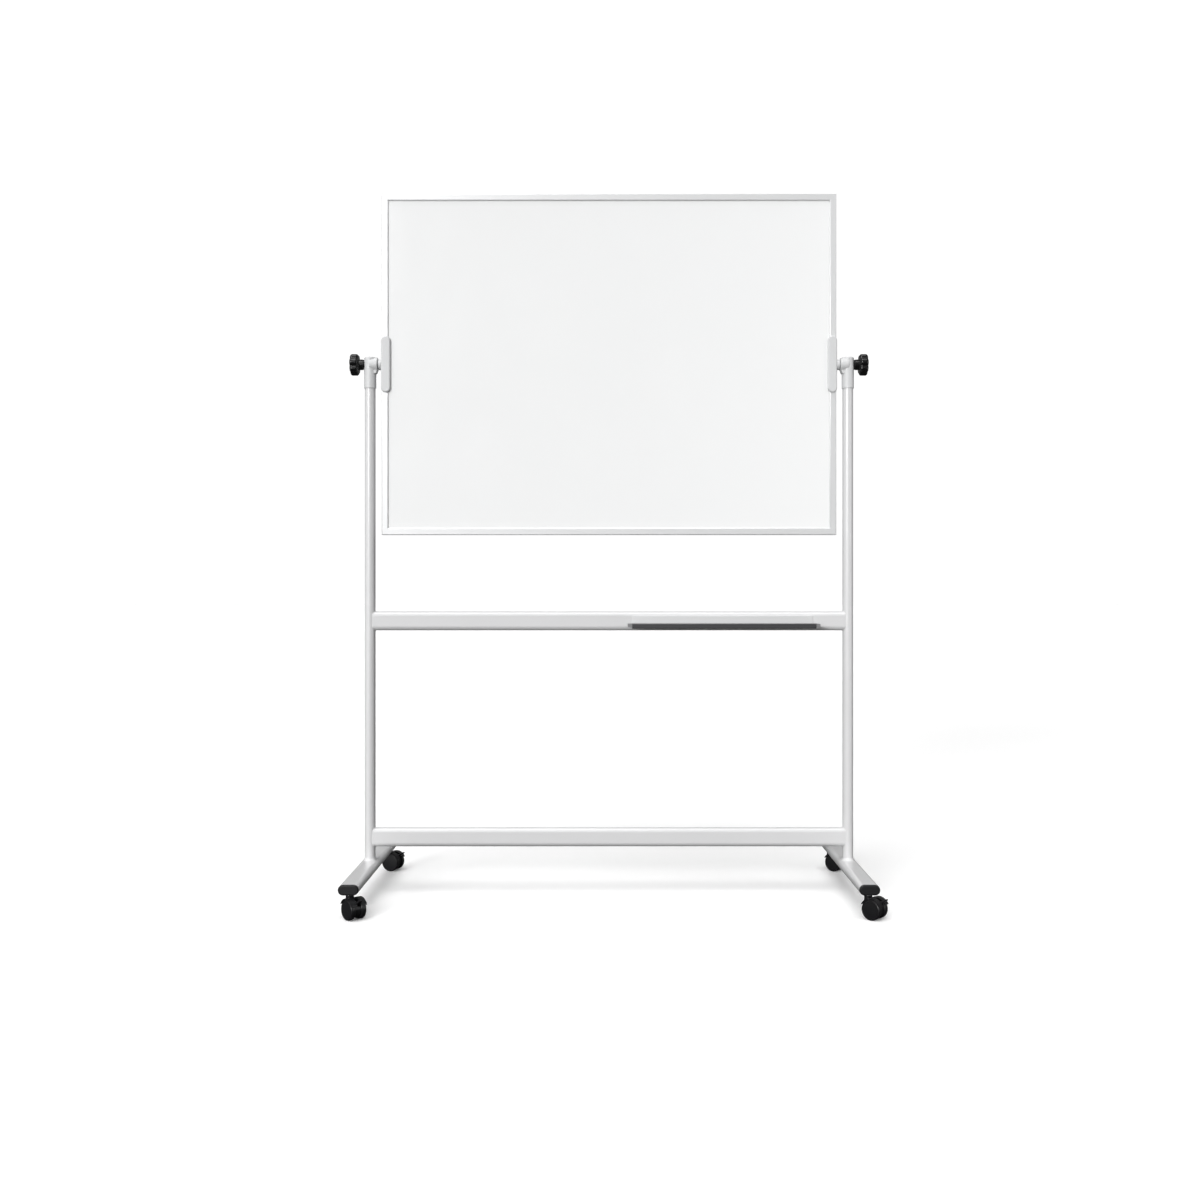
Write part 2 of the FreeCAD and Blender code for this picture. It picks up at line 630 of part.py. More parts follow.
def make_bracket(label, rear):
    """Half of the right bracket: a domed cover that grips the side frame."""
    body = new_body(label)
    sign = "" if rear else "-"
    sketch = new_sketch(body, "cover", "XZ_Plane", ("bracket_x", "pivot_z"),
                        f"{'-' if rear else ''}bracket_half / 2")
    draw_slot(sketch, "bracket_wide", "bracket_tall")
    extrude(body, "cover", sketch, "bracket_half")
    face = number(f"{sign}bracket_half")
    soften(body, "dome", "bracket_round", lambda b: close(b.YMin, face) and close(b.YMax, face))
    low_z, tall = "pivot_z - bracket_tall", "2 * bracket_tall"
    for name, low_x, wide, deep in (
        ("frame_slot", "side_in", "frame_face", "board_deep / 2"),
        ("panel_step", "side_in - bracket_wide", "bracket_wide", "panel_half"),
    ):
        low_y = "0" if rear else f"-({deep})"
        block(body, name, (wide, deep, tall), (low_x, low_y, low_z), cut=True)
    at = ("board_wide / 2 - over", 0, "pivot_z")
    rod(body, "tail_hole", "tail_wide", "bracket_proud + 2 * over", at, "X", cut=True)
    for name, side in (("upper", "+"), ("lower", "-")):
        z = f"pivot_z {side} bracket_screw_up"
        start = "-(board_deep / 2 + screw_bite)"
        length = "bracket_half + board_deep / 2 + screw_bite"
        rod(body, f"{name}_hole", "screw_wide", length, ("screw_x", start, z), "Y", cut=True)
        if rear:
            at = ("screw_x", "bracket_half - screw_head_thick", z)
            deep = "screw_head_thick + over"
            rod(body, f"{name}_sink", "screw_head_wide", deep, at, "Y", cut=True)
    return body


def make_bracket_screw():
    """Upper right bracket screw: from the rear half, through the frame, to the front half."""
    body = new_body("bracket_screw_form")
    z = "pivot_z + bracket_screw_up"
    start = "-(board_deep / 2 + screw_bite)"
    length = "bracket_half + board_deep / 2 + screw_bite"
    rod(body, "shank", "screw_wide", length, ("screw_x", start, z), "Y")
    at = ("screw_x", "bracket_half - screw_head_thick", z)
    rod(body, "head", "screw_head_wide", "screw_head_thick", at, "Y")
    at = ("screw_x", "bracket_half - screw_head_thick / 2", z)
    rod(body, "socket", "screw_head_wide / 2", "screw_head_thick", at, "Y", cut=True)
    return body


def make_hub():
    """Right pivot hub: a domed disc, its journal in the post head, its tail in the frame."""
    body = new_body("right_pivot_hub")
    thick = "boss_face - gap - bracket_out"
    rod(body, "disc", "hub_wide", thick, ("bracket_out", 0, "pivot_z"), "X")
    end = number("boss_face - gap")
    soften(body, "dome", "hub_round", lambda b: close(b.XMin, end))
    length = "post_x - spigot_stop - gap - bracket_out"
    rod(body, "journal", "spigot_wide", length, ("bracket_out", 0, "pivot_z"), "X")
    rod(body, "tail", "tail_wide", "tail_long", ("bracket_out - tail_long", 0, "pivot_z"), "X")
    bore = "stud_wide + 2 * run_clear"
    start = "bracket_out - tail_long + tail_floor"
    rod(body, "thread", bore, f"post_x - ({start})", (start, 0, "pivot_z"), "X", cut=True)
    return body


# ---------------------------------------------------------------- the knobs
def make_knob():
    """Right star knob: a neck against the washer and a lobed, domed grip."""
    body = new_body("right_knob_grip")
    rod(body, "grip", "grip_wide", "grip_long", ("grip_x", 0, "pivot_z"), "X")
    end = number("grip_x + grip_long")
    soften(body, "dome", "grip_dome", lambda b: close(b.XMin, end))
    start = number("grip_x")
    soften(body, "rear_edge", "grip_edge", lambda b: close(b.XMax, start))
    up = "pivot_z + grip_wide / 2 - scallop_depth + scallop"
    at = ("grip_x - over", 0, up)
    hollow = rod(body, "scallop", "2 * scallop", "grip_long + 2 * over", at, "X", cut=True)
    ring = add_feature(body, "PolarPattern", "scallops")
    ring.Originals = [hollow]
    axis = new_sketch(body, "turn", "YZ_Plane", (0, "pivot_z"))
    ring.Axis = (axis, ["N_Axis"])
    ring.Angle = 360
    bind(ring, Occurrences="grip_lobes")
    rod(body, "neck", "knob_neck_wide", "knob_neck_long", ("neck_x", 0, "pivot_z"), "X")
    rod(body, "stud_hole", "stud_wide", "knob_neck_long + stud_grip + over",
        ("neck_x - over", 0, "pivot_z"), "X", cut=True)
    return body


def make_stud():
    """Right clamping stud, moulded into the knob and screwed into the hub."""
    body = new_body("right_knob_stud")
    rod(body, "rod", "stud_wide", "grip_x + stud_grip - stud_end", ("stud_end", 0, "pivot_z"), "X")
    return body


def make_washer():
    """Right washer between the knob and the post head."""
    body = new_body("right_knob_washer")
    at = ("outer_face + gap", 0, "pivot_z")
    rod(body, "disc", "washer_wide", "washer_thick", at, "X")
    hole = "stud_wide + 2 * gap"
    at = ("outer_face", 0, "pivot_z")
    rod(body, "hole", hole, "washer_thick + 2 * gap", at, "X", cut=True)
    return body


# ---------------------------------------------------------------- the tray
def magnet_places():
    """Return the X formulas of the magnets, evenly spaced about the tray's middle."""
    return [f"tray_x + {step} * magnet_pitch" for step in (-1.5, -0.5, 0.5, 1.5)]


def make_tray_shelf():
    """Shelf with a flange turned down along its front."""
    body = new_body("tray_shelf")
    left = "tray_x - tray_long / 2"
    deep = "tray_front - shelf_back"
    block(body, "form", ("tray_long", deep, "tray_lip"), (left, "-tray_front", "tray_z - tray_lip"))
    front = -number("tray_front")
    soften(body, "nose", "tray_round", lambda b: close(b.YMax, front) and b.XLength > LONG_EDGE)
    size = ("tray_long + 2 * over", f"{deep} - tray_wall + over", "tray_lip")
    low = (f"{left} - over", "-(tray_front - tray_wall)", "tray_z - tray_wall - tray_lip")
    block(body, "underside", size, low, cut=True)
    return body


def make_tray_back():
    """Back plate against the crossbar's flat face, recessed for the magnets."""
    body = new_body("tray_back")
    low = ("tray_x - tray_long / 2", "-shelf_back", "tray_z - tray_tab_high")
    block(body, "plate", ("tray_long", "tray_back_thick", "tray_tab_high + tray_back_up"), low)
    z = "tray_z - tray_tab_high + (tray_tab_high + tray_back_up) / 2"
    for i, x in enumerate(magnet_places(), 1):
        at = (x, "-bar_front - magnet_thick", z)
        rod(body, f"recess_{i}", "magnet_wide", "magnet_thick + over", at, "Y", cut=True)
    return body


def make_magnet(index, x):
    """One disc magnet in the back plate."""
    body = new_body(f"magnet_{index}_form")
    z = "tray_z - tray_tab_high + (tray_tab_high + tray_back_up) / 2"
    rod(body, "disc", "magnet_wide", "magnet_thick", (x, "-bar_front - magnet_thick", z), "Y")
    return body


def make_tray_tab(index, low_x):
    """End cap of the shelf."""
    body = new_body(f"tray_tab_{index}_form")
    front = "tray_front - tray_tab_inset"
    size = ("tray_tab_long", f"{front} - bar_front", "tray_tab_high")
    block(body, "cap", size, (low_x, f"-({front})", "tray_z - tray_tab_high"))
    soften(body, "edges", "tray_round", lambda b: b.YLength > LONG_EDGE)
    return body


# ---------------------------------------------------------------- the casters
def make_socket():
    """Socket bush in a foot, drawn at the swivel axis."""
    body = new_body("socket_form")
    rod(body, "bush", "socket_wide", "bar_deep - tube_wall", (0, 0, "caster_high"))
    at = (0, 0, "caster_high - socket_flange")
    rod(body, "flange", "socket_flange_wide", "socket_flange", at)
    length = "socket_flange + bar_deep - 4 * tube_wall"
    rod(body, "bore", "stem_wide", length, at, cut=True)
    return body


def make_stem():
    """Caster stem: fast in the socket, with the housing turning on its lower part."""
    body = new_body("stem_form")
    length = "socket_flange + bar_deep - 4 * tube_wall"
    rod(body, "upper", "stem_wide", length, (0, 0, "caster_high - socket_flange"))
    rod(body, "collar", "collar_wide", "collar_thick", (0, 0, "collar_z"))
    rod(body, "lower", "swivel_wide", "swivel_deep", (0, 0, "collar_z - swivel_deep"))
    return body


def make_housing():
    """Caster housing: web between the wheels, hood over them, boss round the stem."""
    body = new_body("housing_form")
    start = ("trail", "-caster_wide / 2", "wheel_r")
    rod(body, "drum", "2 * hood_out", "caster_wide", start, "Y")
    low = ("trail - 2 * hood_out", "-caster_wide", "wheel_r + hood_open - 4 * hood_out")
    size = ("4 * hood_out", "2 * caster_wide", "4 * hood_out")
    block(body, "open_below", size, low, cut=True)
    web = ("trail", "-web_thick / 2", "wheel_r")
    rod(body, "web", "2 * (wheel_r - web_rise)", "web_thick", web, "Y")
    at = (0, 0, "wheel_r + hood_open")
    wide = "collar_wide + 2 * stem_boss_wall"
    rod(body, "boss", wide, "housing_top - wheel_r - hood_open", at)
    for side, y in (("left", "web_thick / 2"), ("right", "-(web_thick / 2 + caster_wide)")):
        at = ("trail", y, "wheel_r")
        rod(body, f"{side}_room", "2 * hood_in", "caster_wide", at, "Y", cut=True)
    slot = "lever_wide + 2 * gap"
    size = ("3 * lever_long", slot, "hood_out + wheel_r")
    low = ("lever_back - lever_slot_ahead", f"-({slot}) / 2", "lever_up - lever_slot_below")
    block(body, "lever_slot", size, low, cut=True)
    pin = "lever_pin_wide + 2 * run_clear"
    at = ("lever_back", "-web_thick", "lever_up")
    rod(body, "pin_hole", pin, "2 * web_thick", at, "Y", cut=True)
    at = ("trail", "-web_thick", "wheel_r")
    rod(body, "axle_hole", "axle_wide", "2 * web_thick", at, "Y", cut=True)
    bore = "swivel_wide + 2 * run_clear"
    at = (0, 0, "collar_z - swivel_deep - gap")
    rod(body, "swivel", bore, "swivel_deep + gap + over", at, cut=True)
    return body


def make_axle():
    """Axle pressed through the housing, ending blind inside both wheels."""
    body = new_body("axle_form")
    length = "caster_wide - 2 * axle_blind"
    rod(body, "rod", "axle_wide", length, ("trail", f"-({length}) / 2", "wheel_r"), "Y")
    return body


def make_wheel():
    """Left wheel of a pair: solid, with rounded edges, a dished side and a blind bore."""
    body = new_body("wheel_form")
    at = ("trail", "wheel_in", "wheel_r")
    rod(body, "disc", "wheel_wide", "wheel_thick", at, "Y")
    radius = number("wheel_r")
    soften(body, "edges", "wheel_round", lambda b: close(b.ZLength / 2, radius))
    outer = "wheel_in + wheel_thick - wheel_dish"
    at = ("trail", outer, "wheel_r")
    rod(body, "dish", "wheel_wide - 2 * wheel_rim", "wheel_dish + over", at, "Y", cut=True)
    rod(body, "cap", "wheel_wide - 2 * (wheel_rim + dish_wide)", "wheel_dish", at, "Y")
    bore = "axle_wide + 2 * run_clear"
    at = ("trail", "wheel_in - over", "wheel_r")
    rod(body, "bore", bore, "wheel_thick - axle_blind + gap + over", at, "Y", cut=True)
    return body


def make_lever():
    """Brake lever: a rising tab on a cross pin in the housing's cheeks."""
    body = new_body("lever_form")
    sketch = new_sketch(body, "tab", "XZ_Plane", ("lever_back", "lever_up"))
    draw_polygon(sketch, [
        ("-lever_heel", "lever_tab - lever_heel"),
        ("lever_tab", "-lever_heel"),
        ("lever_knee", "lever_knee_rise"),
        ("lever_long", "lever_rise - lever_tab / 2"),
        ("lever_long - lever_tab / 2", "lever_rise + lever_tab / 2"),
        ("lever_knee - lever_tab", "lever_knee_rise + lever_tab"),
        ("-lever_heel", "lever_heel"),
    ])
    extrude(body, "tab", sketch, "lever_wide")
    length = "web_thick - 2 * gap"
    at = ("lever_back", f"-({length}) / 2", "lever_up")
    rod(body, "pin", "lever_pin_wide", length, at, "Y")
    return body


# ---------------------------------------------------------------- assembly
def make_stand():
    """Return the stand's sub-parts."""
    post, foot = make_post(), make_foot()
    bars = [
        make_crossbar("middle_crossbar", "middle_bar_z"),
        make_crossbar("lower_crossbar", "lower_bar_z"),
    ]
    cap = make_foot_cap()
    rear_cap = mirror("rear_foot_cap", cap, (0, 1, 0))
    caps = [cap, rear_cap]
    caps += [mirror(f"left_{c.Label}", c, (1, 0, 0)) for c in caps]
    beads = [
        make_bar_weld("middle", "middle_bar_z"),
        make_bar_weld("lower", "lower_bar_z"),
    ]
    beads += [mirror(f"left_{b.Label}", b, (1, 0, 0)) for b in beads]
    flare = make_foot_weld()
    flares = [flare, mirror("left_foot_weld", flare, (1, 0, 0))]
    return [
        *pair("post", post),
        *pair("foot", foot),
        *bars,
        *pair("post_head", make_head()),
        group("foot_end_caps", caps),
        group("bar_welds", beads),
        group("foot_welds", flares),
    ]


def make_board():
    """Return the board's sub-parts."""
    top = make_frame_member("frame_top", "X")
    side = make_frame_member("frame_right", "Z")
    key = make_corner_key()
    low_key = mirror("low_corner_key", key, (0, 0, 1), "pivot_z")
    keys = [key, low_key]
    keys += [mirror(f"left_{k.Label}", k, (1, 0, 0)) for k in keys]
    screw = make_bracket_screw()
    low_screw = mirror("low_bracket_screw", screw, (0, 0, 1), "pivot_z")
    screws = [screw, low_screw]
    screws += [mirror(f"left_{s.Label}", s, (1, 0, 0)) for s in screws]
    return [
        make_panel("front_sheet", "-panel_half", "skin"),
        make_panel("rear_sheet", "panel_half - skin", "skin"),
        make_panel("board_core", "-(panel_half - skin)", "2 * (panel_half - skin)"),
        top,
        mirror("frame_bottom", top, (0, 0, 1), "pivot_z"),
        side,
        mirror("frame_left", side, (1, 0, 0)),
        group("corner_keys", keys),
        *pair("bracket_front", make_bracket("right_bracket_front", rear=False)),
        *pair("bracket_rear", make_bracket("right_bracket_rear", rear=True)),
        group("bracket_screws", screws),
        *pair("pivot_hub", make_hub()),
    ]


def make_knobs():
    """Return the sub-parts of both knobs."""
    return [
        *pair("knob_grip", make_knob()),
        *pair("knob_stud", make_stud()),
        *pair("knob_washer", make_washer()),
    ]


def make_tray():
    """Return the tray's sub-parts."""
    magnets = [make_magnet(i, x) for i, x in enumerate(magnet_places(), 1)]
    tabs = [
        make_tray_tab(1, "tray_x - tray_long / 2 - tray_tab_long"),
        make_tray_tab(2, "tray_x + tray_long / 2"),
    ]
    return [
        make_tray_shelf(),
        make_tray_back(),
        group("tray_magnets", magnets),
        group("tray_end_caps", tabs),
    ]


def make_casters():
    """Return the casters' sub-parts, each corner turned to its own heading."""
    wheel = make_wheel()
    forms = {
        "housing": make_housing(),
        "axle": make_axle(),
        "brake": make_lever(),
        "wheel_a": wheel,
        "wheel_b": mirror("wheel_b_form", wheel, (0, 1, 0)),
    }
    socket, stem = make_socket(), make_stem()
    parts, sockets, stems = [], [], []
    for end, y in (("front", "-caster_y"), ("rear", "caster_y")):
        for side, x in (("left", "-post_x"), ("right", "post_x")):
            corner = f"{end}_{side}"
            for name, form in forms.items():
                parts.append(placed(f"{corner}_{name}", form, x, y, f"{corner}_turn"))
            sockets.append(placed(f"{corner}_socket", socket, x, y))
            stems.append(placed(f"{corner}_stem", stem, x, y))
    return [*parts, group("caster_sockets", sockets), group("caster_stems", stems)]


def check(parts):
    """Raise unless every object is sound and every sub-part is a valid solid."""
    for thing in doc.Objects:
        if "Invalid" in thing.State or "Error" in thing.State:
            raise RuntimeError(f"{thing.Label} failed: {thing.State}")
        if thing.TypeId == "Sketcher::SketchObject" and thing.solve() != 0:
            raise RuntimeError(f"{thing.Label} has constraints that conflict")
    for part in parts:
        if part.Shape.isNull() or not part.Shape.isValid() or not part.Shape.Solids:
            raise RuntimeError(f"{part.Label} has no valid solid")


def main():
    """Build every sub-part, check it and write its STEP file."""
    parts = [*make_stand(), *make_board(), *make_knobs(), *make_tray(), *make_casters()]
    doc.recompute()
    check(parts)
    os.makedirs("parts", exist_ok=True)
    for part in parts:
        part.Shape.exportStep(f"parts/{part.Label}.step")
    print(f"{len(parts)} sub-parts written")


main()
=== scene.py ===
"""Rolling reversible whiteboard: the finishes and the detailed pieces round the CAD frame.

Every length is in metres, in the frame's own axes: +Z up, +X to the viewer's right and the
viewer at -Y. Places and sizes come from the frame's boxes and joints.
"""
from __future__ import annotations

import json
import logging
import math
from dataclasses import dataclass
from enum import Enum

import bmesh
import bpy
from mathutils import Matrix, Vector


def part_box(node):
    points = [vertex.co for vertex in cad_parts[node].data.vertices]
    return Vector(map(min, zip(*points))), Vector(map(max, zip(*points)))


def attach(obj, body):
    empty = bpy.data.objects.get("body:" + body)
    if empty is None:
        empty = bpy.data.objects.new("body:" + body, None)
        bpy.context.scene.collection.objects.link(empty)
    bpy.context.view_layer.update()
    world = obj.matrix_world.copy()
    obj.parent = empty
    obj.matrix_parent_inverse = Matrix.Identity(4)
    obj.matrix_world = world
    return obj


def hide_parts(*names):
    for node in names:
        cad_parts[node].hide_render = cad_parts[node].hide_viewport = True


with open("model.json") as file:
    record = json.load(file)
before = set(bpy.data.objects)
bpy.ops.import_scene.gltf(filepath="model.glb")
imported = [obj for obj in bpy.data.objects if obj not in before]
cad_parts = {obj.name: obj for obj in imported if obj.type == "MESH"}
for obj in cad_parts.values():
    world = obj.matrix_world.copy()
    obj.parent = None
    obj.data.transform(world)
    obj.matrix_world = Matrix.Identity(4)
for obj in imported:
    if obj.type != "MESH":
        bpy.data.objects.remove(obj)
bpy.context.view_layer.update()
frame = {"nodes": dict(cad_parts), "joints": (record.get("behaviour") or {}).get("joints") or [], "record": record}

MM = 0.001
log = logging.getLogger("whiteboard")

CORNERS = ("front_left", "front_right", "rear_left", "rear_right")
SIDES = ("left", "right")

# What counts as one point, as a flat joint of two faces and as a crisp edge.
SAME_POINT = 0.002 * MM
FLAT_ANGLE = math.radians(2.0)
CRISP_ANGLE = math.radians(40.0)
EDGE_STEPS = 2

# The middle of a noise texture's range, and one turn's quarter in even steps.
MIDDLE = 0.5
QUARTER_STEPS = 8
STEP_ANGLE = math.pi / 2 / QUARTER_STEPS

# What a node's property or socket takes, and what a Math node works on.
Setting = bool | int | float | str | tuple | bpy.types.ID | bpy.types.NodeSocket
Number = float | bpy.types.NodeSocket


# ------------------------------------------------------------------ shader node groups
class Nodes:
    """A node tree with short calls to add and link its nodes."""

    def __init__(self, tree: bpy.types.NodeTree) -> None:
        """Keep the tree to work on."""
        self.tree = tree

    def add(self, kind: str, **settings: Setting) -> bpy.types.Node:
        """Add one node.

        Args:
            kind: the node's type.
            settings: properties to set; a value for a socket is given as i_NAME or i_NUMBER.

        Returns:
            The new node.
        """
        node = self.tree.nodes.new(kind)
        for key, value in settings.items():
            if not key.startswith("i_"):
                setattr(node, key, value)
        for key, value in settings.items():
            if key.startswith("i_"):
                name = key[2:].replace("_", " ")
                socket = node.inputs[int(name)] if name.isdigit() else node.inputs[name]
                self.feed(socket, value)
        return node

    def feed(self, socket: bpy.types.NodeSocket, value: Setting) -> None:
        """Link a socket to another one, or set its plain value.

        Args:
            socket: the input to feed.
            value: an output socket or a plain value.
        """
        if isinstance(value, bpy.types.NodeSocket):
            self.tree.links.new(value, socket)
        else:
            socket.default_value = value

    def math(self, operation: str, *values: Number) -> bpy.types.NodeSocket:
        """Add a Math node.

        Args:
            operation: what it does with its values.
            values: plain numbers or output sockets, in order.

        Returns:
            The result's socket.
        """
        node = self.add("ShaderNodeMath", operation=operation)
        for socket, value in zip(node.inputs, values):
            self.feed(socket, value)
        return node.outputs[0]


def new_group(
    name: str, takes: dict[str, tuple], gives: dict[str, str]
) -> tuple[Nodes, bpy.types.Node, bpy.types.Node]:
    """Start a shader node group.

    Args:
        name: the group's name.
        takes: input name to (socket type, default).
        gives: output name to socket type.

    Returns:
        The group's nodes, its input node and its output node.
    """
    tree = bpy.data.node_groups.new(name, "ShaderNodeTree")
    for label, (kind, default) in takes.items():
        socket = tree.interface.new_socket(label, in_out="INPUT", socket_type=kind)
        socket.default_value = default
    for label, kind in gives.items():
        tree.interface.new_socket(label, in_out="OUTPUT", socket_type=kind)
    nodes = Nodes(tree)
    return nodes, nodes.add("NodeGroupInput"), nodes.add("NodeGroupOutput")


def object_point(nodes: Nodes, stretch: Setting) -> bpy.types.NodeSocket:
    """Scale the Object coordinate.

    Args:
        nodes: the tree to work in.
        stretch: a vector, or a socket that gives one.

    Returns:
        The scaled coordinate's socket.
    """
    place = nodes.add("ShaderNodeTexCoord").outputs["Object"]
    node = nodes.add("ShaderNodeVectorMath", operation="MULTIPLY")
    nodes.feed(node.inputs[0], place)
    nodes.feed(node.inputs[1], stretch)
    return node.outputs[0]


def grain_group() -> bpy.types.NodeTree:
    """Fine surface texture: a height for bump, and a roughness that drifts over the piece.

    Returns:
        The node group's tree.
    """
    nodes, takes, gives = new_group(
        "Surface Grain",
        {
            "Stretch": ("NodeSocketVector", (1.0, 1.0, 1.0)),
            "Grain Scale": ("NodeSocketFloat", 900.0),
            "Drift Scale": ("NodeSocketFloat", 14.0),
            "Roughness": ("NodeSocketFloat", 0.4),
            "Drift": ("NodeSocketFloat", 0.06),
        },
        {"Height": "NodeSocketFloat", "Roughness": "NodeSocketFloat"},
    )
    point = object_point(nodes, takes.outputs["Stretch"])
    fine = nodes.add("ShaderNodeTexNoise", i_Vector=point, i_Detail=3.0,
                     i_Scale=takes.outputs["Grain Scale"])
    coarse = nodes.add("ShaderNodeTexNoise", i_Vector=point, i_Detail=4.0,
                       i_Scale=takes.outputs["Drift Scale"])
    centred = nodes.math("SUBTRACT", coarse.outputs["Fac"], MIDDLE)
    shift = nodes.math("MULTIPLY", centred, takes.outputs["Drift"])
    nodes.feed(gives.inputs["Height"], fine.outputs["Fac"])
    total = nodes.math("ADD", takes.outputs["Roughness"], shift)
    nodes.feed(gives.inputs["Roughness"], total)
    return nodes.tree


def tone_group() -> bpy.types.NodeTree:
    """Colour that varies slightly: broad tone, and specks of dust on faces that look up.

    Returns:
        The node group's tree.
    """
    nodes, takes, gives = new_group(
        "Tone and Dust",
        {
            "Color": ("NodeSocketColor", (0.5, 0.5, 0.5, 1.0)),
            "Dust Color": ("NodeSocketColor", (0.6, 0.59, 0.57, 1.0)),
            "Scale": ("NodeSocketFloat", 9.0),
            "Variation": ("NodeSocketFloat", 0.05),
            "Dust": ("NodeSocketFloat", 0.0),
        },
        {"Color": "NodeSocketColor"},
    )
    point = object_point(nodes, (1.0, 1.0, 1.0))
    broad = nodes.add("ShaderNodeTexNoise", i_Vector=point, i_Detail=5.0,
                      i_Scale=takes.outputs["Scale"])
    swing = nodes.math("MULTIPLY", nodes.math("SUBTRACT", broad.outputs["Fac"], MIDDLE),
                       takes.outputs["Variation"])
    gain = nodes.math("ADD", swing, 1.0)
    toned = nodes.add("ShaderNodeVectorMath", operation="SCALE", i_0=takes.outputs["Color"],
                      i_Scale=gain)
    specks = nodes.add("ShaderNodeTexNoise", i_Vector=point, i_Detail=6.0, i_Scale=420.0)
    mask = nodes.add("ShaderNodeMapRange", i_Value=specks.outputs["Fac"])
    mask.inputs["From Min"].default_value = 0.45
    mask.inputs["From Max"].default_value = 0.75
    normal = nodes.add("ShaderNodeNewGeometry").outputs["Normal"]
    up = nodes.add("ShaderNodeSeparateXYZ", i_Vector=normal)
    facing = nodes.add("ShaderNodeMapRange", i_Value=up.outputs["Z"])
    facing.inputs["From Min"].default_value = 0.4
    amount = nodes.math("MULTIPLY", nodes.math("MULTIPLY", mask.outputs[0], facing.outputs[0]),
                        takes.outputs["Dust"])
    mix = nodes.add("ShaderNodeMix", data_type="RGBA")
    nodes.feed(mix.inputs["Factor"], amount)
    nodes.feed(mix.inputs[6], toned.outputs[0])
    nodes.feed(mix.inputs[7], takes.outputs["Dust Color"])
    nodes.feed(gives.inputs["Color"], mix.outputs[2])
    return nodes.tree


def rub_group() -> bpy.types.NodeTree:
    """Faint wiping marks: long soft arcs that change the gloss of a writing surface.

    Returns:
        The node group's tree.
    """
    nodes, takes, gives = new_group(
        "Wiping Marks",
        {
            "Roughness": ("NodeSocketFloat", 0.15),
            "Marks": ("NodeSocketFloat", 0.08),
        },
        {"Roughness": "NodeSocketFloat", "Mask": "NodeSocketFloat"},
    )
    point = object_point(nodes, (1.0, 1.0, 0.45))
    warp = nodes.add("ShaderNodeTexNoise", i_Vector=point, i_Scale=2.2, i_Detail=2.0)
    bent = nodes.add("ShaderNodeVectorMath", operation="MULTIPLY_ADD")
    nodes.feed(bent.inputs[0], warp.outputs["Color"])
    bent.inputs[1].default_value = (0.5, 0.5, 0.5)
    nodes.feed(bent.inputs[2], point)
    streak = nodes.add("ShaderNodeTexNoise", i_Vector=bent.outputs[0], i_Scale=9.0, i_Detail=6.0)
    mask = nodes.add("ShaderNodeMapRange", i_Value=streak.outputs["Fac"])
    mask.inputs["From Min"].default_value = 0.4
    mask.inputs["From Max"].default_value = 0.7
    added = nodes.math("MULTIPLY", mask.outputs[0], takes.outputs["Marks"])
    nodes.feed(gives.inputs["Roughness"], nodes.math("ADD", takes.outputs["Roughness"], added))
    nodes.feed(gives.inputs["Mask"], mask.outputs[0])
    return nodes.tree


# ------------------------------------------------------------------ finishes
class Grain(Enum):
    """Which way a finish's grain runs."""

    EVEN = (1.0, 1.0, 1.0)
    ALONG_X = (0.03, 1.0, 1.0)
    ALONG_Z = (1.0, 1.0, 0.03)


@dataclass(frozen=True)
class Finish:
    """One finish: its colour, its gloss and its fine texture."""

    name: str
    color: tuple[float, float, float]
    roughness: float
    metallic: float = 0.0
    coat: float = 0.0
    coat_roughness: float = 0.1
    specular: float = 0.5
    grain: Grain = Grain.EVEN
    grain_scale: float = 900.0
    grain_depth: float = 0.02 * MM
    drift: float = 0.06
    variation: float = 0.04
    dust: float = 0.0
    wiped: float = 0.0

    def build(self, shared: dict[str, bpy.types.NodeTree]) -> bpy.types.Material:
        """Make the material.

        Args:
            shared: the shader node groups by name.

        Returns:
            A material that reads Object coordinates.
        """
        material = bpy.data.materials.new(self.name)
        material.use_nodes = True
        nodes = Nodes(material.node_tree)
        shader = material.node_tree.nodes["Principled BSDF"]
        shader.inputs["Metallic"].default_value = self.metallic
        shader.inputs["Specular IOR Level"].default_value = self.specular
        shader.inputs["Coat Weight"].default_value = self.coat
        shader.inputs["Coat Roughness"].default_value = self.coat_roughness
        grain = nodes.add("ShaderNodeGroup", node_tree=shared["grain"])
        grain.inputs["Stretch"].default_value = self.grain.value
        grain.inputs["Grain Scale"].default_value = self.grain_scale
        grain.inputs["Roughness"].default_value = self.roughness
        grain.inputs["Drift"].default_value = self.drift
        tone = nodes.add("ShaderNodeGroup", node_tree=shared["tone"])
        tone.inputs["Color"].default_value = (*self.color, 1.0)
        tone.inputs["Variation"].default_value = self.variation
        tone.inputs["Dust"].default_value = self.dust
        nodes.feed(shader.inputs["Base Color"], tone.outputs["Color"])
        roughness = grain.outputs["Roughness"]
        if self.wiped:
            rub = nodes.add("ShaderNodeGroup", node_tree=shared["rub"], i_Roughness=roughness)
            rub.inputs["Marks"].default_value = self.wiped
            roughness = rub.outputs["Roughness"]
        nodes.feed(shader.inputs["Roughness"], roughness)
        bump = nodes.add("ShaderNodeBump", i_Height=grain.outputs["Height"])
        bump.inputs["Distance"].default_value = self.grain_depth
        bump.inputs["Strength"].default_value = 1.0
        nodes.feed(shader.inputs["Normal"], bump.outputs["Normal"])
        return material


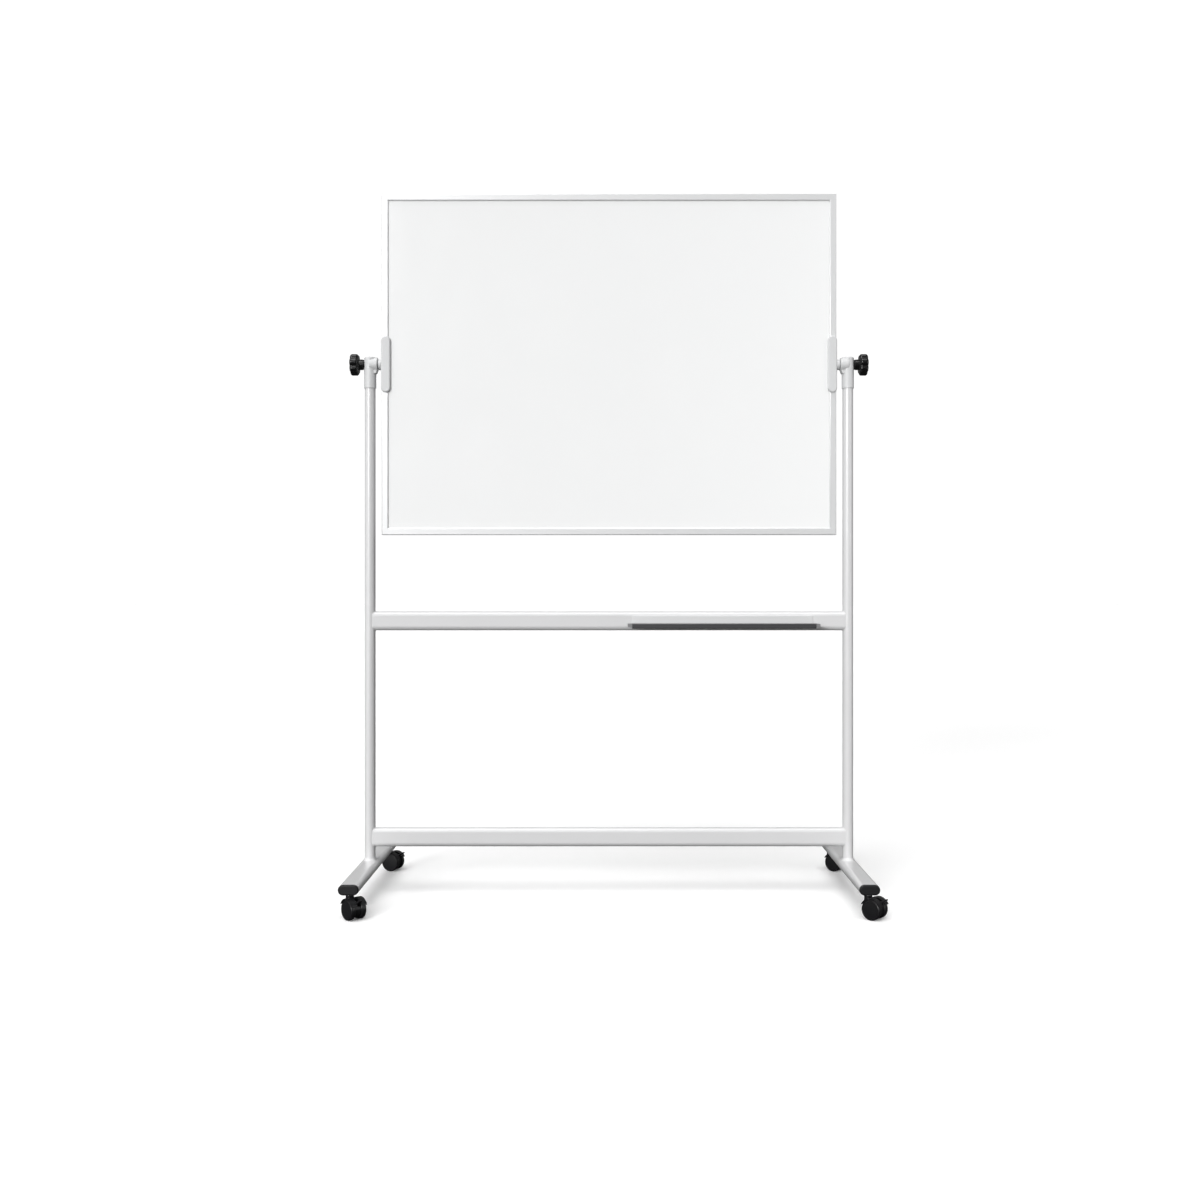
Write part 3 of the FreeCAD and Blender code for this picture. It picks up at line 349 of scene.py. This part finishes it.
FINISHES = {
    "grey_paint": Finish("silver powder coat", (0.66, 0.66, 0.665), 0.30, coat=0.4,
                         coat_roughness=0.16, grain_scale=1100.0, grain_depth=0.03 * MM, dust=0.02),
    "grey_plastic": Finish("light grey moulding", (0.62, 0.625, 0.63), 0.46,
                           grain_scale=2200.0, grain_depth=0.02 * MM),
    "black_plastic": Finish("black moulding", (0.010, 0.010, 0.011), 0.42, specular=0.3,
                            grain_scale=2000.0, grain_depth=0.02 * MM, dust=0.02),
    "knob_black": Finish("black knob moulding", (0.003, 0.003, 0.0035), 0.24,
                         grain_scale=2000.0, grain_depth=0.01 * MM, dust=0.01),
    "aluminium": Finish("satin anodised aluminium", (0.75, 0.755, 0.76), 0.36, metallic=0.3,
                        grain=Grain.ALONG_X, grain_scale=1500.0, grain_depth=0.012 * MM),
    "aluminium_upright": Finish("satin anodised aluminium upright", (0.75, 0.755, 0.76), 0.36,
                                metallic=0.3, grain=Grain.ALONG_Z, grain_scale=1500.0,
                                grain_depth=0.012 * MM),
    "white_enamel": Finish("white enamelled steel", (0.88, 0.885, 0.885), 0.16, coat=0.6,
                           coat_roughness=0.1, grain_scale=260.0, grain_depth=0.004 * MM,
                           drift=0.03, variation=0.012, wiped=0.07),
    "honeycomb": Finish("paper core", (0.45, 0.36, 0.22), 0.9, grain_scale=150.0,
                        grain_depth=0.3 * MM, variation=0.3),
    "hardware": Finish("zinc plate", (0.56, 0.56, 0.57), 0.3, metallic=0.95,
                       grain_scale=1800.0, variation=0.1),
    "tray_grey": Finish("dark grey moulding", (0.045, 0.045, 0.048), 0.36,
                        grain_scale=2000.0, grain_depth=0.02 * MM, dust=0.03),
    "mid_grey_plastic": Finish("mid grey moulding", (0.22, 0.22, 0.225), 0.45,
                               grain_scale=2000.0, grain_depth=0.02 * MM),
    "magnet": Finish("ferrite", (0.05, 0.05, 0.052), 0.6, grain_scale=900.0, variation=0.2),
    "caster_black": Finish("black nylon", (0.008, 0.008, 0.009), 0.32, specular=0.35,
                           grain_scale=1600.0, grain_depth=0.02 * MM, dust=0.015),
    "wheel_black": Finish("black wheel nylon", (0.007, 0.007, 0.008), 0.30, specular=0.4,
                          grain_scale=1300.0, grain_depth=0.03 * MM, dust=0.02),
}

# The CAD nodes whose crisp edges get a small rounding, and how wide it is.
CRISP_EDGES = {
    "frame_top": 0.45 * MM, "frame_bottom": 0.45 * MM, "frame_left": 0.45 * MM,
    "frame_right": 0.45 * MM, "left_bracket_front": 0.6 * MM, "right_bracket_front": 0.6 * MM,
    "left_bracket_rear": 0.6 * MM, "right_bracket_rear": 0.6 * MM, "foot_end_caps": 0.5 * MM,
    "tray_shelf": 0.3 * MM, "tray_back": 0.3 * MM, "tray_end_caps": 0.4 * MM,
}


class Paintshop:
    """Makes each finish once and puts it on CAD nodes and new pieces."""

    def __init__(self) -> None:
        """Build the shared groups and every finish."""
        shared = {"grain": grain_group(), "tone": tone_group(), "rub": rub_group()}
        self.materials = {name: finish.build(shared) for name, finish in FINISHES.items()}

    def dress_frame(self) -> None:
        """Give every CAD node the finish of its material slot."""
        for part in frame["record"]["subparts"]:
            name = part["material_slot"]
            if part["node"] in ("frame_left", "frame_right"):
                name = "aluminium_upright"
            self.dress(frame["nodes"][part["node"]], name)

    def dress(self, piece: bpy.types.Object, name: str) -> None:
        """Put one finish on a piece.

        Args:
            piece: a CAD node's object or a new piece.
            name: the finish's name.
        """
        piece.data.materials.clear()
        piece.data.materials.append(self.materials[name])


# ------------------------------------------------------------------ mesh helpers
def turned_profile(name: str, profile: list[tuple[float, float]], steps: int) -> bpy.types.Mesh:
    """Turn a profile about the local Z axis into a closed shape.

    Args:
        name: the mesh's name.
        profile: (radius, height) points in metres, from axis to axis.
        steps: number of faces round the axis.

    Returns:
        The mesh, with merged seams and poles and outward normals.
    """
    form = bmesh.new()
    points = [form.verts.new((radius, 0.0, height)) for radius, height in profile]
    edges = [form.edges.new(pair) for pair in zip(points, points[1:])]
    bmesh.ops.spin(form, geom=points + edges, cent=(0, 0, 0), axis=(0, 0, 1),
                   angle=math.tau, steps=steps, use_merge=True)
    bmesh.ops.remove_doubles(form, verts=form.verts, dist=SAME_POINT)
    bmesh.ops.recalc_face_normals(form, faces=form.faces)
    mesh = bpy.data.meshes.new(name)
    form.to_mesh(mesh)
    form.free()
    return mesh


def merged(name: str, parts: list[tuple[bpy.types.Mesh, Matrix]]) -> bpy.types.Mesh:
    """Join meshes into one, each put in place by its own matrix.

    Args:
        name: the joined mesh's name.
        parts: the meshes, which are used up, and their places.

    Returns:
        The joined mesh.
    """
    form = bmesh.new()
    for mesh, place in parts:
        mesh.transform(place)
        form.from_mesh(mesh)
        bpy.data.meshes.remove(mesh)
    joined = bpy.data.meshes.new(name)
    form.to_mesh(joined)
    form.free()
    return joined


def new_piece(mesh: bpy.types.Mesh, name: str, sharp: float = 32.0) -> bpy.types.Object:
    """Make a piece at the origin from a finished mesh.

    Args:
        mesh: the mesh, already in its place.
        name: the piece's name.
        sharp: the angle in degrees over which an edge stays sharp.

    Returns:
        The new piece.
    """
    mesh.shade_smooth()
    mesh.set_sharp_from_angle(angle=math.radians(sharp))
    piece = bpy.data.objects.new(name, mesh)
    bpy.context.scene.collection.objects.link(piece)
    return piece


def rounded_copy(node: str, name: str, width: float) -> bpy.types.Object:
    """Copy a CAD node with its sharp edges rounded.

    Args:
        node: the CAD node to copy.
        name: the new piece's name.
        width: the rounding's width in metres.

    Returns:
        The new piece.
    """
    form = bmesh.new()
    form.from_mesh(frame["nodes"][node].data)
    bmesh.ops.remove_doubles(form, verts=form.verts, dist=SAME_POINT)
    bmesh.ops.dissolve_limit(form, angle_limit=FLAT_ANGLE, verts=form.verts, edges=form.edges)
    sharp = [edge for edge in form.edges
             if edge.is_manifold and edge.calc_face_angle() > CRISP_ANGLE]
    bmesh.ops.bevel(form, geom=sharp, offset=width, segments=EDGE_STEPS, profile=0.5,
                    affect="EDGES", clamp_overlap=True)
    mesh = bpy.data.meshes.new(name)
    form.to_mesh(mesh)
    form.free()
    return new_piece(mesh, name)


def soften_edges(piece: bpy.types.Object, width: float) -> None:
    """Round a piece's crisp edges with modifiers, which leave its own mesh as it is.

    Args:
        piece: a CAD node's object.
        width: the rounding's width in metres.
    """
    weld = piece.modifiers.new("weld", "WELD")
    weld.merge_threshold = SAME_POINT
    bevel = piece.modifiers.new("rounded edges", "BEVEL")
    bevel.limit_method = "ANGLE"
    bevel.angle_limit = CRISP_ANGLE
    bevel.width = width
    bevel.segments = EDGE_STEPS
    bevel.use_clamp_overlap = True
    bevel.harden_normals = True


def towards(axis: Vector, place: Vector) -> Matrix:
    """Return the matrix that turns local Z to an axis and moves the origin to a place."""
    return Matrix.Translation(place) @ axis.to_track_quat("Z", "Y").to_matrix().to_4x4()


def span_along(node: str, place: Vector, axis: Vector) -> tuple[float, float]:
    """Return how far a CAD node reaches along an axis, measured from a place."""
    reach = [(vertex.co - place).dot(axis) for vertex in frame["nodes"][node].data.vertices]
    return min(reach), max(reach)


def joint(name: str) -> tuple[Vector, Vector]:
    """Return a joint's place and axis."""
    found = next(item for item in frame["joints"] if item["name"] == name)
    return Vector(found["pos_m"]), Vector(found["axis"]).normalized()


# ------------------------------------------------------------------ geometry node trees
class ShapeTree(Nodes):
    """A geometry node tree whose named inputs set a mesh's sizes."""

    def __init__(self, name: str, sizes: dict[str, float]) -> None:
        """Start the tree.

        Args:
            name: the tree's name.
            sizes: input name to its default; whole numbers make whole-number inputs.
        """
        tree = bpy.data.node_groups.new(name, "GeometryNodeTree")
        super().__init__(tree)
        tree.interface.new_socket("Geometry", in_out="OUTPUT", socket_type="NodeSocketGeometry")
        for label, value in sizes.items():
            kind = "NodeSocketInt" if isinstance(value, int) else "NodeSocketFloat"
            tree.interface.new_socket(label, in_out="INPUT", socket_type=kind).default_value = value
        tree.interface.new_socket("Finish", in_out="INPUT", socket_type="NodeSocketMaterial")
        self.takes = self.add("NodeGroupInput").outputs
        self.gives = self.add("NodeGroupOutput")

    def end(self, geometry: bpy.types.NodeSocket) -> None:
        """Close the tree with Realize Instances and Set Material.

        Args:
            geometry: the finished geometry's socket.
        """
        real = self.add("GeometryNodeRealizeInstances", i_Geometry=geometry)
        dressed = self.add("GeometryNodeSetMaterial", i_Geometry=real.outputs[0],
                           i_Material=self.takes["Finish"])
        self.feed(self.gives.inputs["Geometry"], dressed.outputs[0])

    def shape(self, finish: bpy.types.Material, **sizes: float) -> bpy.types.Mesh:
        """Run the tree with these sizes.

        Args:
            finish: the material that the tree sets.
            sizes: input name, with underscores for spaces, to its value.

        Returns:
            A plain mesh, with no modifier left.
        """
        holder = bpy.data.objects.new("holder", bpy.data.meshes.new("holder"))
        bpy.context.scene.collection.objects.link(holder)
        modifier = holder.modifiers.new("tree", "NODES")
        modifier.node_group = self.tree
        values = {key.replace("_", " "): value for key, value in sizes.items()}
        values["Finish"] = finish
        for item in self.tree.interface.items_tree:
            if item.in_out == "INPUT" and item.name in values:
                modifier[item.identifier] = values[item.name]
        graph = bpy.context.evaluated_depsgraph_get()
        mesh = bpy.data.meshes.new_from_object(holder.evaluated_get(graph), depsgraph=graph)
        holder.modifiers.remove(modifier)
        bpy.data.objects.remove(holder)
        return mesh


def rib_ring_tree() -> ShapeTree:
    """Bars evenly spaced round the local Z axis.

    Returns:
        The tree.
    """
    tree = ShapeTree("Rib Ring", {"Count": 12, "Radius": 0.01, "Rib Deep": 0.001,
                                  "Rib Wide": 0.001, "Rib Long": 0.01})
    ring = tree.add("GeometryNodeMeshCircle", i_Vertices=tree.takes["Count"],
                    i_Radius=tree.takes["Radius"])
    size = tree.add("ShaderNodeCombineXYZ", i_X=tree.takes["Rib Deep"],
                    i_Y=tree.takes["Rib Wide"], i_Z=tree.takes["Rib Long"])
    rib = tree.add("GeometryNodeMeshCube", i_Size=size.outputs[0])
    index = tree.add("GeometryNodeInputIndex").outputs[0]
    step = tree.math("DIVIDE", math.tau, tree.takes["Count"])
    turn = tree.add("ShaderNodeCombineXYZ", i_Z=tree.math("MULTIPLY", index, step))
    put = tree.add("GeometryNodeInstanceOnPoints", i_Points=ring.outputs["Mesh"],
                   i_Instance=rib.outputs["Mesh"], i_Rotation=turn.outputs[0])
    tree.end(put.outputs[0])
    return tree


# Faces round the star grip, along it and across its ends, and how narrow its valleys are.
GRIP_AROUND, GRIP_ALONG, GRIP_ACROSS = 168, 40, 14
VALLEY_POWER = 2.2


def rounded_end(tree: ShapeTree, height: bpy.types.NodeSocket) -> bpy.types.NodeSocket:
    """Work out how far a rounded end draws in.

    Args:
        tree: the star grip's tree.
        height: the height above the grip's middle.

    Returns:
        The inset: none on the side, and the whole rounding at the face.
    """
    rounding = tree.takes["Rounding"]
    flat = tree.math("SUBTRACT", tree.math("MULTIPLY", tree.takes["Long"], 0.5), rounding)
    over = tree.math("SUBTRACT", tree.math("ABSOLUTE", height), flat)
    past = tree.math("DIVIDE", over, rounding)
    past = tree.math("MINIMUM", tree.math("MAXIMUM", past, 0.0), 1.0)
    arc = tree.math("SQRT", tree.math("SUBTRACT", 1.0, tree.math("MULTIPLY", past, past)))
    return tree.math("MULTIPLY", rounding, tree.math("SUBTRACT", 1.0, arc))


def star_grip_tree() -> ShapeTree:
    """Star grip about the local Z axis: rounded lobes, rounded ends and a dished face.

    Returns:
        The tree.
    """
    tree = ShapeTree("Star Grip", {"Lobes": 7, "Radius": 0.029, "Long": 0.022, "Groove": 0.005,
                                   "Rounding": 0.005, "Dish": 0.001})
    drum = tree.add("GeometryNodeMeshCylinder", i_Vertices=GRIP_AROUND,
                    i_Side_Segments=GRIP_ALONG, i_Fill_Segments=GRIP_ACROSS,
                    i_Radius=1.0, i_Depth=1.0)
    position = tree.add("GeometryNodeInputPosition").outputs[0]
    x, y, z = tree.add("ShaderNodeSeparateXYZ", i_Vector=position).outputs
    squares = tree.math("ADD", tree.math("MULTIPLY", x, x), tree.math("MULTIPLY", y, y))
    share = tree.math("SQRT", squares)
    angle = tree.math("ARCTAN2", y, x)
    wave = tree.math("COSINE", tree.math("MULTIPLY", angle, tree.takes["Lobes"]))
    valley = tree.math("POWER", tree.math("MULTIPLY_ADD", wave, 0.5, 0.5), VALLEY_POWER)
    crest = tree.math("SUBTRACT", tree.takes["Radius"],
                      tree.math("MULTIPLY", tree.takes["Groove"], valley))
    height = tree.math("MULTIPLY", z, tree.takes["Long"])
    inset = rounded_end(tree, height)
    radius = tree.math("MULTIPLY", share, tree.math("SUBTRACT", crest, inset))
    hollow = tree.math("MULTIPLY", tree.takes["Dish"], tree.math("SUBTRACT", 1.0, squares))
    level = tree.math("SUBTRACT", height, tree.math("MULTIPLY", hollow, tree.math("SIGN", z)))
    moved = tree.add("ShaderNodeCombineXYZ", i_Z=level,
                     i_X=tree.math("MULTIPLY", radius, tree.math("COSINE", angle)),
                     i_Y=tree.math("MULTIPLY", radius, tree.math("SINE", angle)))
    shaped = tree.add("GeometryNodeSetPosition", i_Geometry=drum.outputs["Mesh"],
                      i_Position=moved.outputs[0])
    tree.end(shaped.outputs[0])
    return tree


# ------------------------------------------------------------------ the knobs
@dataclass
class StarKnob:
    """One clamping knob: star grip, fluted neck and a small cap over the stud."""

    side: str
    lobes: int = 7
    neck_radius: float = 13.4 * MM
    neck_long: float = 11.9 * MM
    neck_edge: float = 0.8 * MM
    neck_around: int = 64
    groove: float = 4.6 * MM
    flute_long: float = 7.3 * MM
    rounding: float = 6.0 * MM
    dish: float = 0.8 * MM
    flutes: int = 22
    flute_deep: float = 1.1 * MM
    flute_wide: float = 1.5 * MM
    cap_radius: float = 8.5 * MM
    cap_rise: float = 0.7 * MM
    cap_around: int = 48

    def build(self, shop: Paintshop, ribs: ShapeTree, star: ShapeTree) -> bpy.types.Object:
        """Make the knob in place of its plain grip and let it ride with the knob.

        Args:
            shop: where the finishes are.
            ribs: the tree that makes rings of ribs.
            star: the tree that makes the grip.

        Returns:
            The finished piece.
        """
        node = f"{self.side}_knob_grip"
        place, out = joint(f"{self.side}_knob_turn")
        near, far = span_along(node, place, out)
        low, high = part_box(node)
        grip_long = far - near - self.neck_long
        finish = shop.materials["knob_black"]
        grip = star.shape(finish, Lobes=self.lobes, Radius=(high.z - low.z) / 2, Long=grip_long,
                          Groove=self.groove, Rounding=self.rounding, Dish=self.dish)
        flutes = ribs.shape(finish, Count=self.flutes, Radius=self.neck_radius,
                            Rib_Deep=self.flute_deep, Rib_Wide=self.flute_wide,
                            Rib_Long=self.flute_long)
        upright = Matrix.Rotation(math.pi / 2, 4, "Z")
        grip_at = place + out * (far - grip_long / 2)
        neck_at = place + out * near
        parts = [
            (grip, towards(out, grip_at) @ upright),
            (flutes, towards(out, neck_at + out * self.neck_long / 2)),
            (self.neck(), towards(out, neck_at)),
            (self.cap(), towards(out, place + out * (far - self.cap_rise - self.dish))),
        ]
        piece = new_piece(merged(f"{self.side}_star_knob", parts), f"{self.side}_star_knob")
        shop.dress(piece, "knob_black")
        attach(piece, f"{self.side}_knob")
        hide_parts(node)
        return piece

    def neck(self) -> bpy.types.Mesh:
        """Turned neck with a rounded foot, running into the grip.

        Returns:
            The neck's mesh about the local Z axis.
        """
        radius, long, edge = self.neck_radius, self.neck_long, self.neck_edge
        profile = [(0, 0), (radius - edge, 0), (radius, edge), (radius, long - 2 * edge),
                   (radius + 2 * edge, long + edge), (0, long + edge)]
        return turned_profile("neck", profile, self.neck_around)

    def cap(self) -> bpy.types.Mesh:
        """Low domed cap in the middle of the grip's face.

        Returns:
            The cap's mesh about the local Z axis.
        """
        radius, rise = self.cap_radius, self.cap_rise
        turns = [step * STEP_ANGLE for step in range(QUARTER_STEPS)]
        dome = [(radius * math.cos(turn), rise * math.sin(turn)) for turn in turns]
        outline = [(0, -rise), (radius, -rise), *dome, (0, rise)]
        return turned_profile("cap", outline, self.cap_around)


# ------------------------------------------------------------------ the casters
@dataclass
class CasterWheel:
    """One wheel of a twin-wheel caster: a shallow shell with a rim, ribbed on its inner side."""

    corner: str
    side: str
    node_suffix: str
    rim: float = 4.4 * MM
    rim_groove: float = 0.7 * MM
    groove_lean: float = 0.2
    tread_round: float = 3.0 * MM
    dome: float = 0.8 * MM
    shell: float = 4.0 * MM
    hub_radius: float = 6.5 * MM
    bore_radius: float = 3.1 * MM
    bore_wall: float = 1.6 * MM
    rib_count: int = 10
    rib_wide: float = 1.3 * MM
    around: int = 96
    face_steps: int = 8
    sharp: float = 24.0

    def build(self, shop: Paintshop, ribs: ShapeTree) -> bpy.types.Object:
        """Make the wheel in place of its plain disc and let it ride with the wheel.

        Args:
            shop: where the finishes are.
            ribs: the tree that makes rings of ribs.

        Returns:
            The finished piece.
        """
        body = f"{self.corner}_{self.side}_wheel"
        node = f"{self.corner}_{self.node_suffix}"
        place, axis = joint(f"{body}_spin")
        out = axis if self.side == "left" else -axis
        near, far = span_along(node, place, out)
        low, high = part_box(node)
        radius, wide = (high.z - low.z) / 2, far - near
        inner = radius - self.rim
        deep = wide - self.shell
        finish = shop.materials["wheel_black"]
        spokes = ribs.shape(finish, Count=self.rib_count, Radius=(inner + self.hub_radius) / 2,
                            Rib_Deep=inner - self.hub_radius + self.dome, Rib_Wide=self.rib_wide,
                            Rib_Long=deep)
        at = place + out * near
        parts = [
            (turned_profile("wheel", self.profile(radius, wide), self.around), towards(out, at)),
            (spokes, towards(out, at + out * (deep / 2 + self.dome))),
        ]
        name = f"{body}_shell"
        piece = new_piece(merged(name, parts), name, self.sharp)
        shop.dress(piece, "wheel_black")
        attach(piece, body)
        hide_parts(node)
        return piece

    def profile(self, radius: float, wide: float) -> list[tuple[float, float]]:
        """Outline from the hub's outer face, over the tread, to the bore.

        Args:
            radius: the wheel's radius.
            wide: the wheel's width.

        Returns:
            (radius, height) points, with the inner side at height 0.
        """
        inner, groove, bend = radius - self.rim, self.rim_groove, self.tread_round
        shares = [step / self.face_steps for step in range(self.face_steps + 1)]
        face = [(inner * share, wide - self.dome * share ** 2) for share in shares]
        low = wide - self.dome
        lean = self.groove_lean
        rim = [(inner + lean * groove, low - groove), (inner + (1 + lean) * groove, low - groove),
               (inner + (1 + 2 * lean) * groove, low + lean * groove)]
        quarter = [step * STEP_ANGLE for step in range(QUARTER_STEPS + 1)]
        shoulder, crown = radius - bend, wide - self.dome / 2 - bend
        outer = [(shoulder + bend * math.sin(turn), crown + bend * math.cos(turn))
                 for turn in quarter]
        inner_edge = [(shoulder + bend * math.cos(turn), bend - bend * math.sin(turn))
                      for turn in quarter]
        floor, hub, blind = wide - self.shell, self.hub_radius, wide - self.bore_wall
        hollow = [(inner, 0), (inner - groove, groove), (inner - groove, floor), (hub, floor),
                  (hub, groove), (hub - groove, 0), (self.bore_radius, 0),
                  (self.bore_radius, blind), (0, blind)]
        return [*face, *rim, *outer, *inner_edge, *hollow]


# ------------------------------------------------------------------ pieces with softened edges
@dataclass
class SoftenedPart:
    """A CAD part whose crisp moulded or cut edges get their real small rounding."""

    node: str
    body: str
    slot: str
    width: float = 0.45 * MM

    def build(self, shop: Paintshop) -> bpy.types.Object:
        """Make the rounded piece in place of the plain one.

        Args:
            shop: where the finishes are.

        Returns:
            The finished piece.
        """
        piece = rounded_copy(self.node, f"{self.node}_finished", self.width)
        shop.dress(piece, self.slot)
        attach(piece, self.body)
        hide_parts(self.node)
        return piece


# ------------------------------------------------------------------ the studio
@dataclass(frozen=True)
class SoftLamp:
    """One rectangular lamp, in metres and watts."""

    name: str
    place: tuple[float, float, float]
    size: tuple[float, float]
    power: float
    target: tuple[float, float, float]


@dataclass(frozen=True)
class FarLamp:
    """One lamp far away: its strength, and its height, side and width in degrees.

    A lamp with no mirror image gives light but shows in no reflection.
    """

    name: str
    strength: float
    height: float
    side: float
    spread: float
    mirror_image: bool = True


LAMPS = (
    SoftLamp("left_strip", (-2.1, -0.7, 1.1), (0.5, 2.2), 4.5, (-0.6, 0.0, 1.0)),
    SoftLamp("right_strip", (2.1, -1.0, 1.1), (0.5, 2.2), 9.0, (0.6, 0.0, 1.0)),
)
FAR_LAMPS = (
    FarLamp("ceiling", 2.0, 66.0, -28.0, 50.0),
    FarLamp("front_key", 2.15, 13.0, -27.0, 20.0),
    FarLamp("back_fill", 2.2, 8.0, 180.0, 30.0, mirror_image=False),
)


@dataclass
class Studio:
    """Floor, lights and camera."""

    eye_height: float = 0.807
    eye_distance: float = 3.676
    lens: float = 42.44
    shift_x: float = -0.01654
    shift_y: float = -0.00229
    floor_size: float = 120.0
    floor_roughness: float = 0.7
    floor_specular: float = 0.1
    sensor: float = 36.0
    far_clip: float = 400.0
    backdrop: float = 1.05
    surround: float = 0.2
    floor_bounce: float = 0.06
    floor_glow: float = 0.06

    def build(self) -> None:
        """Make the whole studio."""
        self.look()
        self.floor()
        self.sky()
        for far in FAR_LAMPS:
            self.far_lamp(far)
        for soft in LAMPS:
            self.lamp(soft)
        self.camera()

    def look(self) -> None:
        """Show colours plainly, so that the pale floor stays pale."""
        view = bpy.context.scene.view_settings
        view.view_transform = "Standard"
        view.look = "None"

    def floor(self) -> None:
        """Pale floor, darker to the rays that light the object's undersides."""
        mesh = bpy.data.meshes.new("floor")
        half = self.floor_size / 2
        corners = [(-half, -half, 0), (half, -half, 0), (half, half, 0), (-half, half, 0)]
        mesh.from_pydata(corners, [], [(0, 1, 2, 3)])
        floor = bpy.data.objects.new("floor", mesh)
        bpy.context.scene.collection.objects.link(floor)
        material = bpy.data.materials.new("pale floor")
        material.use_nodes = True
        nodes = Nodes(material.node_tree)
        shader = material.node_tree.nodes["Principled BSDF"]
        shader.inputs["Roughness"].default_value = self.floor_roughness
        shader.inputs["Specular IOR Level"].default_value = self.floor_specular
        seen = nodes.add("ShaderNodeLightPath").outputs["Is Camera Ray"]
        mix = nodes.add("ShaderNodeMix", data_type="RGBA")
        nodes.feed(mix.inputs["Factor"], seen)
        mix.inputs[6].default_value = (*[self.floor_bounce] * 3, 1.0)
        mix.inputs[7].default_value = (1.0, 1.0, 1.0, 1.0)
        nodes.feed(shader.inputs["Base Color"], mix.outputs[2])
        shader.inputs["Emission Color"].default_value = (1.0, 1.0, 1.0, 1.0)
        glow = nodes.math("MULTIPLY", seen, self.floor_glow)
        nodes.feed(shader.inputs["Emission Strength"], glow)
        mesh.materials.append(material)

    def sky(self) -> None:
        """White surround for the camera, a softer grey one for light and reflections."""
        world = bpy.data.worlds.new("studio")
        bpy.context.scene.world = world
        world.use_nodes = True
        nodes = Nodes(world.node_tree)
        ground = world.node_tree.nodes["Background"]
        ground.inputs["Color"].default_value = (1.0, 1.0, 1.0, 1.0)
        seen = nodes.add("ShaderNodeLightPath").outputs["Is Camera Ray"]
        strength = nodes.add("ShaderNodeMix")
        nodes.feed(strength.inputs["Factor"], seen)
        strength.inputs[2].default_value = self.surround
        strength.inputs[3].default_value = self.backdrop
        nodes.feed(ground.inputs["Strength"], strength.outputs[0])

    def far_lamp(self, far: FarLamp) -> None:
        """Add one lamp far away, whose light is even all over the object.

        Args:
            far: the lamp's strength and direction.
        """
        data = bpy.data.lights.new(far.name, "SUN")
        data.energy = far.strength
        data.angle = math.radians(far.spread)
        lamp = bpy.data.objects.new(far.name, data)
        lamp.rotation_euler = (math.radians(90.0 - far.height), 0.0, math.radians(far.side))
        lamp.visible_glossy = far.mirror_image
        bpy.context.scene.collection.objects.link(lamp)

    def lamp(self, soft: SoftLamp) -> None:
        """Add one soft rectangular lamp that faces its target.

        Args:
            soft: the lamp's place, size and power.
        """
        data = bpy.data.lights.new(soft.name, "AREA")
        data.shape = "RECTANGLE"
        data.size, data.size_y = soft.size
        data.energy = soft.power
        lamp = bpy.data.objects.new(soft.name, data)
        lamp.location = soft.place
        lamp.visible_camera = False
        facing = Vector(soft.target) - Vector(soft.place)
        lamp.rotation_euler = facing.to_track_quat("-Z", "Y").to_euler()
        bpy.context.scene.collection.objects.link(lamp)

    def camera(self) -> None:
        """Level camera in front of the object."""
        data = bpy.data.cameras.new("camera")
        data.lens = self.lens
        data.sensor_width = self.sensor
        data.shift_x = self.shift_x
        data.shift_y = self.shift_y
        data.clip_end = self.far_clip
        camera = bpy.data.objects.new("camera", data)
        camera.location = (0.0, -self.eye_distance, self.eye_height)
        camera.rotation_euler = (math.radians(90.0), 0.0, 0.0)
        bpy.context.scene.collection.objects.link(camera)
        bpy.context.scene.camera = camera


def main() -> None:
    """Build everything in order."""
    logging.basicConfig(level=logging.INFO, format="%(name)s: %(message)s")
    shop = Paintshop()
    shop.dress_frame()
    for node, width in CRISP_EDGES.items():
        soften_edges(frame["nodes"][node], width)
    ribs, star = rib_ring_tree(), star_grip_tree()
    pieces = [StarKnob(side).build(shop, ribs, star) for side in SIDES]
    for corner in CORNERS:
        for side, suffix in zip(SIDES, ("wheel_a", "wheel_b")):
            pieces.append(CasterWheel(corner, side, suffix).build(shop, ribs))
        lever = SoftenedPart(f"{corner}_brake", f"{corner}_brake_lever", "caster_black")
        pieces.append(lever.build(shop))
    for piece in pieces:
        log.info("%s: %d faces", piece.name, len(piece.data.polygons))
    Studio().build()


if __name__ == "__main__":
    main()
